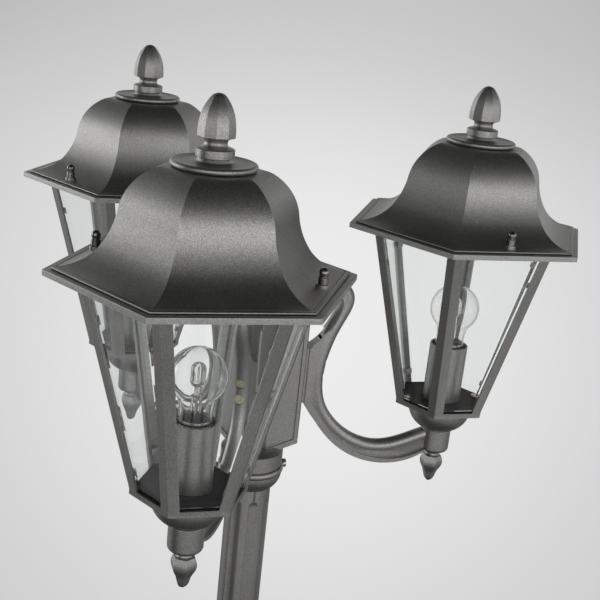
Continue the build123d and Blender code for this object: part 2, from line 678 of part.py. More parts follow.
def make_disc():
    """Cap plate with a rounded rim, a shallow dish and a boss under the finial."""
    top = CROWN_LEVEL + DISC_HEIGHT
    rim = DISC_RADIUS - DISC_ROUNDING
    low = CROWN_LEVEL + DISC_HEIGHT - 2 * DISC_ROUNDING
    dish = ((rim + DISC_BOSS_RADIUS) / 2, top - DISC_DISH)
    boss_top = CROWN_LEVEL + DISC_BOSS_HEIGHT
    boss_foot = DISC_BOSS_RADIUS + (boss_top - top) / 2
    disc = turned(
        Polyline((0, CROWN_LEVEL), (rim - DISC_ROUNDING, CROWN_LEVEL), (rim, low)),
        ThreePointArc((rim, low), (DISC_RADIUS, top - DISC_ROUNDING), (rim, top)),
        ThreePointArc((rim, top), dish, (boss_foot, top)),
        Polyline((boss_foot, top), (DISC_BOSS_RADIUS, boss_top), (0, boss_top), (0, CROWN_LEVEL)),
    )
    return disc - post(FINIAL_SHANK + HOLE_GAP, CROWN_LEVEL, boss_top)


def make_finial():
    """Collar, waisted neck and fluted bud, with the shank that screws into the roof."""
    bottom = COLLAR_LEVEL
    collar_top = bottom + COLLAR_HEIGHT
    bud_bottom = collar_top + FINIAL_NECK_HEIGHT
    tip = bud_bottom + BUD_HEIGHT
    flat = COLLAR_RADIUS - 2 * COLLAR_EDGE
    under_bud = BUD_RADIUS - 2 * COLLAR_EDGE
    neck_middle = (FINIAL_NECK_RADIUS, (collar_top + bud_bottom) / 2)
    stalk = turned(
        Polyline((0, bottom), (flat, bottom), (COLLAR_RADIUS, bottom + COLLAR_EDGE),
                 (COLLAR_RADIUS, collar_top - COLLAR_EDGE), (flat, collar_top)),
        ThreePointArc((flat, collar_top), neck_middle, (under_bud, bud_bottom)),
        Polyline((under_bud, bud_bottom), (0, bud_bottom), (0, bottom)),
    )
    widest = (BUD_RADIUS, bud_bottom + COLLAR_EDGE)
    swell = [(BUD_RADIUS * out, bud_bottom + BUD_HEIGHT * up) for out, up in BUD_SHAPE]
    side = profile_face(
        Polyline((0, bud_bottom), (under_bud, bud_bottom), widest),
        Spline(widest, *swell, (0, tip), tangents=[(0, 1), (-1, 0.1)]),
        Line((0, tip), (0, bud_bottom)),
    )
    shank = post(FINIAL_SHANK, bottom - FINIAL_SHANK_LENGTH, bottom)
    return fused([stalk, mitred(side, BUD_SIDES), shank])


# ---- Arm -------------------------------------------------------------------------------------------

BOSS_SIDE = ARM_REACH - BOSS_RADIUS + ARM_BOSS_OVERLAP
ARM_FRONT_END = (BOSS_SIDE, CUP_BOTTOM - ARM_END_DROP)
ARM_UNDER_END = (BOSS_SIDE, BOSS_BOTTOM + ARM_END_RISE)


def by_head(*points):
    """Points of the arm's curl and riser, with distances taken from the head's seat."""
    return [(HEAD_SEAT + out, level) for out, level in points]


def in_sweep(shares):
    """Points of the arm's sweep, which follows the reach and the boss."""
    run = BOSS_SIDE - HEAD_SEAT
    drop = BOSS_BOTTOM - ARM_PAD_BOTTOM
    return [(HEAD_SEAT + out * run, ARM_PAD_BOTTOM + down * drop) for out, down in shares]


def arm_front():
    """Edge of the arm's side view that faces the lantern, from the curl to the socket boss."""
    return Spline(*by_head(CURL_FRONT, *RISER_FRONT), *in_sweep(SWEEP_FRONT), ARM_FRONT_END)


def arm_outline():
    """Side view of the arm, as (distance from the post's axis, level)."""
    pad_top = (HEAD_SEAT, ARM_PAD_TOP)
    pad_bottom = (HEAD_SEAT, ARM_PAD_BOTTOM)
    back = Spline(*by_head(CURL_BACK, *RISER_BACK), pad_top)
    return profile_face(
        ThreePointArc(*by_head(CURL_BACK, CURL_TIP, CURL_FRONT)),
        arm_front(),
        Line(ARM_FRONT_END, ARM_UNDER_END),
        Spline(pad_bottom, *in_sweep(SWEEP_UNDER), ARM_UNDER_END),
        Line(pad_bottom, pad_top),
        back,
    )


def arm_round_path():
    """Axis of the half-round front: the front edge moved in by the half-round's radius."""
    front = arm_front()
    points = []
    for step in range(ARM_ROUND_STEPS + 1):
        along = front % (step / ARM_ROUND_STEPS)
        point = front @ (step / ARM_ROUND_STEPS) + Vector(along.Y, -along.X) * ARM_ROUND_RADIUS
        points.append((point.X, point.Y))
    return Plane.XZ * Spline(*points)


def make_socket_boss():
    """Round end of the arm under the lantern's cup, on the lantern's axis."""
    inner = BOSS_RADIUS - BOSS_ROUNDING
    boss = turned(
        Polyline((0, CUP_BOTTOM), (BOSS_RADIUS, CUP_BOTTOM), (BOSS_RADIUS, CUP_BOTTOM - BOSS_BEAD)),
        ThreePointArc((BOSS_RADIUS, CUP_BOTTOM - BOSS_BEAD),
                      (BOSS_RADIUS + BOSS_BEAD, CUP_BOTTOM - 2 * BOSS_BEAD),
                      (BOSS_RADIUS, CUP_BOTTOM - 3 * BOSS_BEAD)),
        Line((BOSS_RADIUS, CUP_BOTTOM - 3 * BOSS_BEAD), (BOSS_RADIUS, BOSS_BOTTOM + BOSS_ROUNDING)),
        TangentArc((BOSS_RADIUS, BOSS_BOTTOM + BOSS_ROUNDING), (inner, BOSS_BOTTOM), tangent=(0, -1)),
        Polyline((inner, BOSS_BOTTOM), (0, BOSS_BOTTOM), (0, CUP_BOTTOM)),
    )
    return Pos(ARM_REACH, 0, 0) * boss


def make_arm():
    """Half-round casting with a lip along its back, a hollow behind it and the socket boss."""
    outline = arm_outline()
    path = arm_round_path()
    front = Plane.XZ * arm_front()
    rounding = sweep(Plane(origin=path @ 0, z_dir=path % 0) * Circle(ARM_ROUND_RADIUS), path)
    strip = make_face([front, path, Line(path @ 0, front @ 0), Line(path @ 1, front @ 1)])
    arm = plate(outline - strip, ARM_ROUND_RADIUS - ARM_WEB_INSET) + rounding
    arm += Pos(*(path @ 0)) * Sphere(ARM_ROUND_RADIUS)
    lip_out, lip_up = ARM_LIP_SHIFT
    arm += plate(outline - Pos(lip_out, 0, lip_up) * outline, ARM_LIP_HALF_WIDTH)
    hollow_out, hollow_up = ARM_HOLLOW_SHIFT
    below_curl = Plane.XZ * Pos(0, ARM_HOLLOW_TOP) * Rectangle(FAR, FAR, align=(Align.MIN, Align.MAX))
    hollow = plate((Pos(hollow_out, 0, hollow_up) * outline) & below_curl, ARM_HOLLOW_HALF_WIDTH)
    for level in ARM_SCREW_LEVELS:
        hollow -= radial(ARM_SCREW_PILLAR, 0, ARM_REACH, level)
    arm -= hollow
    arm += make_socket_boss()
    for level in ARM_SCREW_LEVELS:
        arm -= radial(ARM_SCREW_HEAD + HOLE_GAP, ARM_SCREW_SEAT, ARM_REACH / 2, level)
        arm -= radial(ARM_SCREW_SHANK + HOLE_GAP, 0, ARM_SCREW_SEAT, level)
    return arm - Pos(ARM_REACH, 0, 0) * post(NIPPLE_RADIUS + HOLE_GAP, BOSS_BOTTOM, CUP_BOTTOM)


def make_arm_screws():
    """Socket cap screws through the pad into the head's end wall."""
    head_end = ARM_SCREW_SEAT + ARM_SCREW_HEAD_HEIGHT
    screws = []
    for level in ARM_SCREW_LEVELS:
        screw = radial(ARM_SCREW_SHANK, HEAD_SEAT - ARM_SCREW_GRIP, ARM_SCREW_SEAT, level)
        screw += radial(ARM_SCREW_HEAD, ARM_SCREW_SEAT, head_end, level)
        socket = extrude(hexagon(ARM_SCREW_SOCKET), -ARM_SCREW_HEAD_HEIGHT / 2)
        screws.append(screw - Plane((head_end, 0, level), z_dir=(1, 0, 0)) * socket)
    return screws


# ---- Head ------------------------------------------------------------------------------------------

def star(grow, end=WING_END):
    """Outline of three wings towards the arms, grown or shrunk all round."""
    points = []
    half_width = WING_HALF_WIDTH + grow
    valley = WING_VALLEY + grow / sin(radians(60))
    for angle in ARM_ANGLES.values():
        for out, side in ((end + grow, -half_width), (end + grow, half_width)):
            corner = Vector(out, side).rotate(Axis.Z, angle)
            points.append((corner.X, corner.Y))
        between = Vector(valley, 0).rotate(Axis.Z, angle + 60)
        points.append((between.X, between.Y))
    return Polygon(*points, align=None)


def under_wings():
    """Space below the wings' bottom edges, which rise outwards."""
    rise = (WING_BOTTOM_OUT - WING_BOTTOM_IN) / (WING_END - WING_VALLEY)
    far_level = WING_BOTTOM_IN + rise * (2 * WING_END - WING_VALLEY)
    return turned(Polyline((0, COLLAR_BOTTOM), (2 * WING_END, COLLAR_BOTTOM), (2 * WING_END, far_level),
                           (WING_VALLEY, WING_BOTTOM_IN), (0, WING_BOTTOM_IN), (0, COLLAR_BOTTOM)))


def wing_panel(side):
    """Pocket in one side face of the wing that points along X."""
    corner = Vector(WING_END, WING_HALF_WIDTH * side)
    valley = Vector(WING_VALLEY, 0).rotate(Axis.Z, 60 * side)
    along = (valley - corner).normalized()
    length = (valley - corner).length
    across = Vector(along.Y, -along.X)
    low_out = WING_BOTTOM_OUT + PANEL_BORDER
    low_in = WING_BOTTOM_IN + PANEL_BORDER
    high = HEAD_TOP - PANEL_BORDER
    start, stop = PANEL_BORDER, length - PANEL_BORDER / 2
    face = Polygon((start, low_out), (stop, low_in), (stop, high), (start, high), align=None)
    plane = Plane((corner.X, corner.Y, 0), x_dir=along, z_dir=across)
    return plane * extrude(face, PANEL_DEPTH, both=True)


def make_collar():
    """Turned neck, groove, bead and foot below the wings."""
    top = WING_BOTTOM_IN + PANEL_BORDER
    shoulder = NECK_RADIUS - NECK_SHOULDER
    groove = NECK_RADIUS - NECK_GROOVE
    foot = TUBE_RADIUS + COLLAR_FOOT_WALL
    bead_top = NECK_BOTTOM - NECK_GROOVE
    bead_in = COLLAR_BEAD_FOOT
    return turned(
        Polyline((0, top), (shoulder, top), (NECK_RADIUS, NECK_TOP), (NECK_RADIUS, NECK_BOTTOM),
                 (groove, NECK_BOTTOM), (groove, bead_top), (bead_in, bead_top)),
        ThreePointArc((bead_in, bead_top), (COLLAR_BEAD_RADIUS, (bead_top + COLLAR_BEAD_BOTTOM) / 2),
                      (bead_in, COLLAR_BEAD_BOTTOM)),
        TangentArc((bead_in, COLLAR_BEAD_BOTTOM), (foot, COLLAR_BOTTOM), tangent=(0, -1)),
        Polyline((foot, COLLAR_BOTTOM), (0, COLLAR_BOTTOM), (0, top)),
    )


def make_head():
    wings = Pos(0, 0, COLLAR_BOTTOM) * extrude(star(0), HEAD_TOP - COLLAR_BOTTOM)
    ends = [edge for edge in wings.edges().filter_by(Axis.Z)
            if Vector(edge.center().X, edge.center().Y).length > WING_END]
    wings = fillet(ends, WING_EDGE) - under_wings()
    seat_height = ARM_PAD_TOP - ARM_PAD_BOTTOM
    seat_level = (ARM_PAD_TOP + ARM_PAD_BOTTOM) / 2
    hollow = extrude(star(-HEAD_WALL, WING_END - WING_END_WALL), HEAD_TOP - HEAD_FLOOR)
    hollow = Pos(0, 0, HEAD_FLOOR) * hollow
    bores = []
    for angle in ARM_ANGLES.values():
        turn = Rot(0, 0, angle)
        seat = Box(2 * SEAT_THICKNESS, 2 * SEAT_HALF_WIDTH, seat_height)
        wings += turn * Pos(WING_END, 0, seat_level) * seat
        wings -= turn * wing_panel(1)
        wings -= turn * wing_panel(-1)
        for level in ARM_SCREW_LEVELS:
            bores.append(turn * radial(ARM_SCREW_SHANK + THREAD_GAP, HEAD_SEAT - ARM_SCREW_GRIP, FAR, level))
        bores.append(turn * radial(WIRE_HOLE, WING_VALLEY, FAR, WIRE_HOLE_LEVEL))
        bores.append(turn * radial(SET_SCREW_SHANK + THREAD_GAP, 0, FAR, SET_SCREW_LEVEL))
    head = wings + make_collar()
    head -= [hollow] + bores
    head -= post(BORE_IN_COLLAR, COLLAR_BOTTOM, TUBE_TOP)
    head -= post(HEAD_CABLE_HOLE, TUBE_TOP, HEAD_FLOOR)
    hanging = (Align.CENTER, Align.CENTER, Align.MAX)
    bridge = Box(4 * WING_VALLEY, 2 * LID_BRIDGE_HALF_WIDTH, LID_BRIDGE_HEIGHT, align=hanging)
    inside = Pos(0, 0, HEAD_FLOOR) * extrude(star(-THREAD_GAP), HEAD_TOP - HEAD_FLOOR)
    head += Pos(0, 0, HEAD_TOP) * bridge & inside
    return head - post(LID_SCREW_SHANK + THREAD_GAP, HEAD_TOP - LID_BRIDGE_HEIGHT, HEAD_TOP)


def make_lid():
    rim = Pos(0, 0, HEAD_TOP) * extrude(star(LID_OVERHANG), LID_RIM)
    crown = scale(star(LID_OVERHANG), LID_CROWN)
    top = HEAD_TOP + LID_RIM
    rise = loft([Pos(0, 0, top) * star(LID_OVERHANG), Pos(0, 0, top + LID_RISE) * crown], ruled=True)
    return rim + rise - post(LID_SCREW_SHANK + HOLE_GAP, HEAD_TOP, top + LID_RISE)


def make_lid_screw():
    seat = HEAD_TOP + LID_RIM + LID_RISE
    head_top = seat + LID_SCREW_HEAD_HEIGHT
    head = fillet(post(LID_SCREW_HEAD, seat, head_top).edges().group_by(Axis.Z)[-1], LID_SCREW_ROUNDING)
    return head + post(LID_SCREW_SHANK, HEAD_TOP - LID_BRIDGE_HEIGHT, seat)


def make_terminal_block():
    upright = (Align.CENTER, Align.CENTER, Align.MIN)
    block = Pos(0, 0, HEAD_FLOOR) * Box(BLOCK_LENGTH, BLOCK_WIDTH, BLOCK_HEIGHT, align=upright)
    pitch = BLOCK_LENGTH / BLOCK_POLES
    for pole in range(BLOCK_POLES):
        place = Pos((pole - (BLOCK_POLES - 1) / 2) * pitch, 0, 0)
        top = HEAD_FLOOR + BLOCK_HEIGHT
        block -= place * post(BLOCK_WELL, top - BLOCK_WELL_DEPTH, top)
    return block


def make_set_screws():
    outer = COLLAR_BEAD_RADIUS + SET_SCREW_HEAD_HEIGHT
    screw = radial(SET_SCREW_SHANK, TUBE_RADIUS, COLLAR_BEAD_RADIUS, SET_SCREW_LEVEL)
    screw += radial(SET_SCREW_HEAD, COLLAR_BEAD_RADIUS, outer, SET_SCREW_LEVEL)
    socket = extrude(hexagon(SET_SCREW_SOCKET), -SET_SCREW_HEAD_HEIGHT / 2)
    return screw - Plane((outer, 0, SET_SCREW_LEVEL), z_dir=(1, 0, 0)) * socket


# ---- Post and base, with levels above the ground ----------------------------------------------------

def fluted_tube(radius, bore, bottom, top, flute_bottom, flute_top, width, cutter):
    """Tube with shallow flutes that end round."""
    tube = post(radius, bottom, top) - post(bore, bottom, top)
    centre = sqrt(radius ** 2 - (width / 2) ** 2) + sqrt(cutter ** 2 - (width / 2) ** 2)
    low, high = flute_bottom + width / 2, flute_top - width / 2
    flute = post(cutter, low, high) + Pos(0, 0, low) * Sphere(cutter) + Pos(0, 0, high) * Sphere(cutter)
    return tube - around(Pos(centre, 0, 0) * flute, FLUTE_COUNT, FLUTE_ANGLE)


def make_upper_tube():
    foot = COUPLING_LEVEL + COUPLING_HEIGHT - COUPLING_SOCKET
    return fluted_tube(
        TUBE_RADIUS, TUBE_BORE, foot, RING_LEVEL + TUBE_TOP,
        COUPLING_LEVEL + COUPLING_HEIGHT + FLUTE_FOOT_ABOVE_COUPLING,
        RING_LEVEL + COLLAR_BOTTOM - FLUTE_TOP_BELOW_COLLAR, FLUTE_WIDTH, FLUTE_CUTTER)


def make_coupling():
    """Turned collar between the tubes, with a spigot in the lower and a socket for the upper."""
    bottom, top = COUPLING_LEVEL, COUPLING_LEVEL + COUPLING_HEIGHT
    foot = LOWER_TUBE_RADIUS + COUPLING_FOOT_LEDGE
    lip = COUPLING_LIP_RADIUS
    belly = bottom + COUPLING_HEIGHT * COUPLING_BELLY_SHARE
    belly_top = (lip + COUPLING_BELLY_STEP, belly + COUPLING_BELLY_RISE)
    neck = (lip, bottom + COUPLING_HEIGHT * COUPLING_NECK_SHARE)
    body = turned(
        Polyline((0, bottom), (foot, bottom), (foot, bottom + COUPLING_FOOT_HEIGHT)),
        ThreePointArc((foot, bottom + COUPLING_FOOT_HEIGHT), (COUPLING_RADIUS, belly), belly_top),
        Line(belly_top, neck),
        ThreePointArc(neck, (lip + COUPLING_LIP_SWELL, (neck[1] + top) / 2), (lip, top)),
        Polyline((lip, top), (0, top), (0, bottom)),
    )
    body += post(LOWER_TUBE_BORE - HOLE_GAP, bottom - COUPLING_SPIGOT, bottom)
    body -= post(TUBE_BORE, bottom - COUPLING_SPIGOT, top)
    return body - post(TUBE_RADIUS + THREAD_GAP, top - COUPLING_SOCKET, top)


def make_lower_tube():
    foot = BASE_HEIGHT - BASE_SOCKET
    return fluted_tube(
        LOWER_TUBE_RADIUS, LOWER_TUBE_BORE, foot, COUPLING_LEVEL,
        BASE_HEIGHT + FLUTE_FOOT_ABOVE_COUPLING, COUPLING_LEVEL - FLUTE_TOP_BELOW_COLLAR,
        LOWER_FLUTE_WIDTH, LOWER_FLUTE_CUTTER)


def base_outline(inset, bottom):
    """Bell of the base, or with an inset the space under it."""
    rim = BASE_BELL_RADIUS - inset
    stem = BASE_STEM_RADIUS - inset
    top = BASE_HEIGHT - inset
    bell_top = BASE_BELL_LEVEL - inset
    stem_start = (stem, BASE_STEM_LEVEL - inset)
    slope = (rim * BASE_SLOPE[0], bell_top + BASE_SLOPE[1])
    flare = (stem * BASE_FLARE[0], bell_top + BASE_FLARE[1])
    return turned(
        Polyline((0, bottom), (rim, bottom), (rim, bell_top)),
        Spline((rim, bell_top), slope, flare, stem_start, tangents=[(-0.4, 1), (-0.05, 1)]),
        Polyline(stem_start, (stem, top), (0, top), (0, bottom)),
    )


def ring_bead(radius, depth, level, height):
    """Half-round bead round a column of the given radius."""
    return turned(
        Polyline((0, level - height / 2), (radius, level - height / 2)),
        ThreePointArc((radius, level - height / 2), (radius + depth, level), (radius, level + height / 2)),
        Polyline((radius, level + height / 2), (0, level + height / 2), (0, level - height / 2)),
    )


def make_base():
    flange = post(BASE_RADIUS, 0, BASE_FLANGE)
    flange = fillet(flange.edges().group_by(Axis.Z)[-1], BASE_FLANGE / 2)
    base = flange + base_outline(0, 0)
    swell = BASE_RING_RADIUS - BASE_STEM_RADIUS
    below_top, top_bead = BASE_TOP_BEAD
    above_foot, stem_bead = BASE_STEM_BEAD
    base += ring_bead(BASE_STEM_RADIUS, swell, BASE_HEIGHT - below_top, top_bead)
    base += ring_bead(BASE_STEM_RADIUS, swell, BASE_STEM_LEVEL + above_foot, stem_bead)
    seat = BASE_HEIGHT - BASE_SOCKET
    ledge = post(LOWER_TUBE_RADIUS + BASE_WALL, seat - BASE_WALL, seat)
    space = base_outline(BASE_WALL, 0) & post(BASE_RADIUS, 0, seat - BASE_WALL)
    base -= space
    base += ledge
    base -= post(LOWER_TUBE_RADIUS + THREAD_GAP, seat, BASE_HEIGHT)
    base -= post(BASE_CABLE_BORE, seat - BASE_WALL, seat)
    return base - around(Pos(ANCHOR_CIRCLE, 0, 0) * post(ANCHOR_HOLE, 0, BASE_FLANGE), ANCHOR_COUNT, -90)


# ---- Assembly --------------------------------------------------------------------------------------

LANTERN_PIECES = {
    "roof": make_roof,
    "roof_nuts": make_cap_nuts,
    "roof_disc": make_disc,
    "finial": make_finial,
    "bulb_glass": make_bulb_glass,
    "bulb_cap": make_bulb_cap,
    "bulb_capsule": make_bulb_capsule,
    "cage": make_cage,
    "glass_panes": make_panes,
    "floor_plate": make_floor_plate,
    "sleeve": make_sleeve,
    "lampholder": make_lampholder,
    "cup": make_cup,
    "drop_finial": make_drop_finial,
}
SHARED_LANTERN_PIECES = {
    "roof_studs": make_roof_studs,
    "glass_clips": make_clips,
    "floor_screws": make_floor_screws,
    "nipples": make_nipple,
    "nipple_nuts": make_nipple_nut,
}
SHARED_POST_PIECES = {"arm_screws": make_arm_screws, "set_screws": make_set_screws}
HEAD_PIECES = {
    "head": make_head,
    "head_lid": make_lid,
    "lid_screw": make_lid_screw,
    "terminal_block": make_terminal_block,
}
GROUND_PIECES = {
    "upper_tube": make_upper_tube,
    "coupling": make_coupling,
    "lower_tube": make_lower_tube,
    "base": make_base,
}


def listed(shape):
    """Shape or shapes of a piece as a list."""
    return shape if isinstance(shape, list) else [shape]


def save(name, shapes):
    """Write one node, with each of its shapes as a solid of its own."""
    solids = [solid for shape in shapes for solid in shape.solids()]
    export_step(solids[0] if len(solids) == 1 else Compound(solids), f"parts/{name}.step")


def main():
    os.makedirs("parts", exist_ok=True)
    lift = Pos(0, 0, RING_LEVEL)
    arm_places = {name: lift * Rot(0, 0, angle) for name, angle in ARM_ANGLES.items()}
    lantern_places = {name: place * Pos(ARM_REACH, 0, 0) for name, place in arm_places.items()}
    for piece, make in LANTERN_PIECES.items():
        shapes = listed(make())
        for name, place in lantern_places.items():
            save(f"{piece}_{name}", [place * shape for shape in shapes])
    for places, pieces in ((lantern_places, SHARED_LANTERN_PIECES), (arm_places, SHARED_POST_PIECES)):
        for piece, make in pieces.items():
            shapes = listed(make())
            save(piece, [place * shape for place in places.values() for shape in shapes])
    arm = make_arm()
    for name, place in arm_places.items():
        save(f"arm_{name}", [place * arm])
    for piece, make in HEAD_PIECES.items():
        save(piece, [lift * make()])
    for piece, make in GROUND_PIECES.items():
        save(piece, [make()])


main()
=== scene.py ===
"""Looks of a garden lamp post with three hexagonal lanterns on scrolled arms.

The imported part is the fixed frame: metres, Z up, origin on the ground under the base. Castings and
small metal are refined copies of their frame nodes, with soft edges. Panes, bulbs and plastic keep
their frame shapes. Each bulb's quartz capsule is made here, with its filament, leads and strap.
"""

import json
import logging
import math
from dataclasses import dataclass, field
from enum import Enum
from typing import Any, Iterable, Protocol, Sequence

import bmesh
import bpy
from mathutils import Matrix, Vector

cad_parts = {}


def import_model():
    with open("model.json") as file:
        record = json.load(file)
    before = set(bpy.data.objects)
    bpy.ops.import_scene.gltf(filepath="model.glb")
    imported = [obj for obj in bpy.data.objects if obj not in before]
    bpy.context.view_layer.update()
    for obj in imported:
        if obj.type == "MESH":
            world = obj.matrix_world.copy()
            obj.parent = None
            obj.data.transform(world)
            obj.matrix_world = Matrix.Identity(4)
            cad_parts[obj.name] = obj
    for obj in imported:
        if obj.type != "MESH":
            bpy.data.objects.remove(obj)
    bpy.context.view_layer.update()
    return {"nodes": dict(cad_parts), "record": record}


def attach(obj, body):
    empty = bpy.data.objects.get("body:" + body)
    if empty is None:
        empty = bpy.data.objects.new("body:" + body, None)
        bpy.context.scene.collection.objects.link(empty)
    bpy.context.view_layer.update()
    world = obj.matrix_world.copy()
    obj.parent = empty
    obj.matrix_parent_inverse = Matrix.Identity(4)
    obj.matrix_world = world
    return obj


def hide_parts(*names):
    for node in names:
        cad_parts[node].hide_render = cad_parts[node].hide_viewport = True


log = logging.getLogger("lamp_post")

Colour = tuple[float, float, float]
Point = tuple[float, float, float]
Range = tuple[float, float]
Stops = Sequence[tuple[float, float]]
Shape = bmesh.types.BMesh

MM = 0.001
LANTERN_REACH = 185 * MM  # post's axis to a lantern's axis
RING_LEVEL = 2075 * MM  # ground to the top face of the lanterns' rings

NOISE_MIDDLE = 0.5
WORN_AND_HIGHLIGHT_GAIN = 1.25  # a lighter edge's brightness over the tone beside it: partly wear, partly a painted highlight
WORN_AND_HIGHLIGHT_TURN: Range = (0.985, 0.86)  # cosines between which a rounded normal shows wear and a painted edge highlight

SMOOTH_ANGLE = 35.0  # degrees up to which a new piece is shaded smooth
SOFT_ANGLE = 28.0  # degrees from which a casting's edge is softened and its shading breaks
FLAT_ANGLE = 0.2  # degrees up to which neighbouring facets are one face
MERGE_DISTANCE = 1e-6
LATHE_MERGE_DISTANCE = 1e-7


class Side(Enum):
    """The three lanterns, by the angle of their arm about the post in degrees."""

    FRONT = -90.0
    RIGHT = 30.0
    LEFT = 150.0

    @property
    def label(self) -> str:
        """Ending of the names of this lantern's nodes and bodies."""
        return self.name.lower()

    def place(self) -> Matrix:
        """Place of the lantern's axis at the level of its ring."""
        turn = Matrix.Rotation(math.radians(self.value), 4, "Z")
        return turn @ Matrix.Translation((LANTERN_REACH, 0, RING_LEVEL))


# ---- Shader maths --------------------------------------------------------------------------------


class Value:
    """A number socket of a node tree, on which arithmetic adds Math nodes."""

    def __init__(self, graph: "Graph", socket: bpy.types.NodeSocket) -> None:
        """Wraps one output socket of the graph."""
        self.graph = graph
        self.socket = socket

    def _math(self, operation: str, first: Any, second: Any) -> "Value":
        """Math node of two values."""
        return self.graph.value("ShaderNodeMath", {"operation": operation}, {0: first, 1: second})

    def __add__(self, other: Any) -> "Value":
        """Sum."""
        return self._math("ADD", self, other)

    def __radd__(self, other: Any) -> "Value":
        """Sum with a number on the left."""
        return self._math("ADD", other, self)

    def __sub__(self, other: Any) -> "Value":
        """Difference."""
        return self._math("SUBTRACT", self, other)

    def __rsub__(self, other: Any) -> "Value":
        """Difference from a number on the left."""
        return self._math("SUBTRACT", other, self)

    def __mul__(self, other: Any) -> "Value":
        """Product."""
        return self._math("MULTIPLY", self, other)

    def __rmul__(self, other: Any) -> "Value":
        """Product with a number on the left."""
        return self._math("MULTIPLY", other, self)

    def larger(self, other: Any) -> "Value":
        """The larger of two values."""
        return self._math("MAXIMUM", self, other)

    def swing(self) -> "Value":
        """How far a noise lies over its middle level."""
        return self - NOISE_MIDDLE


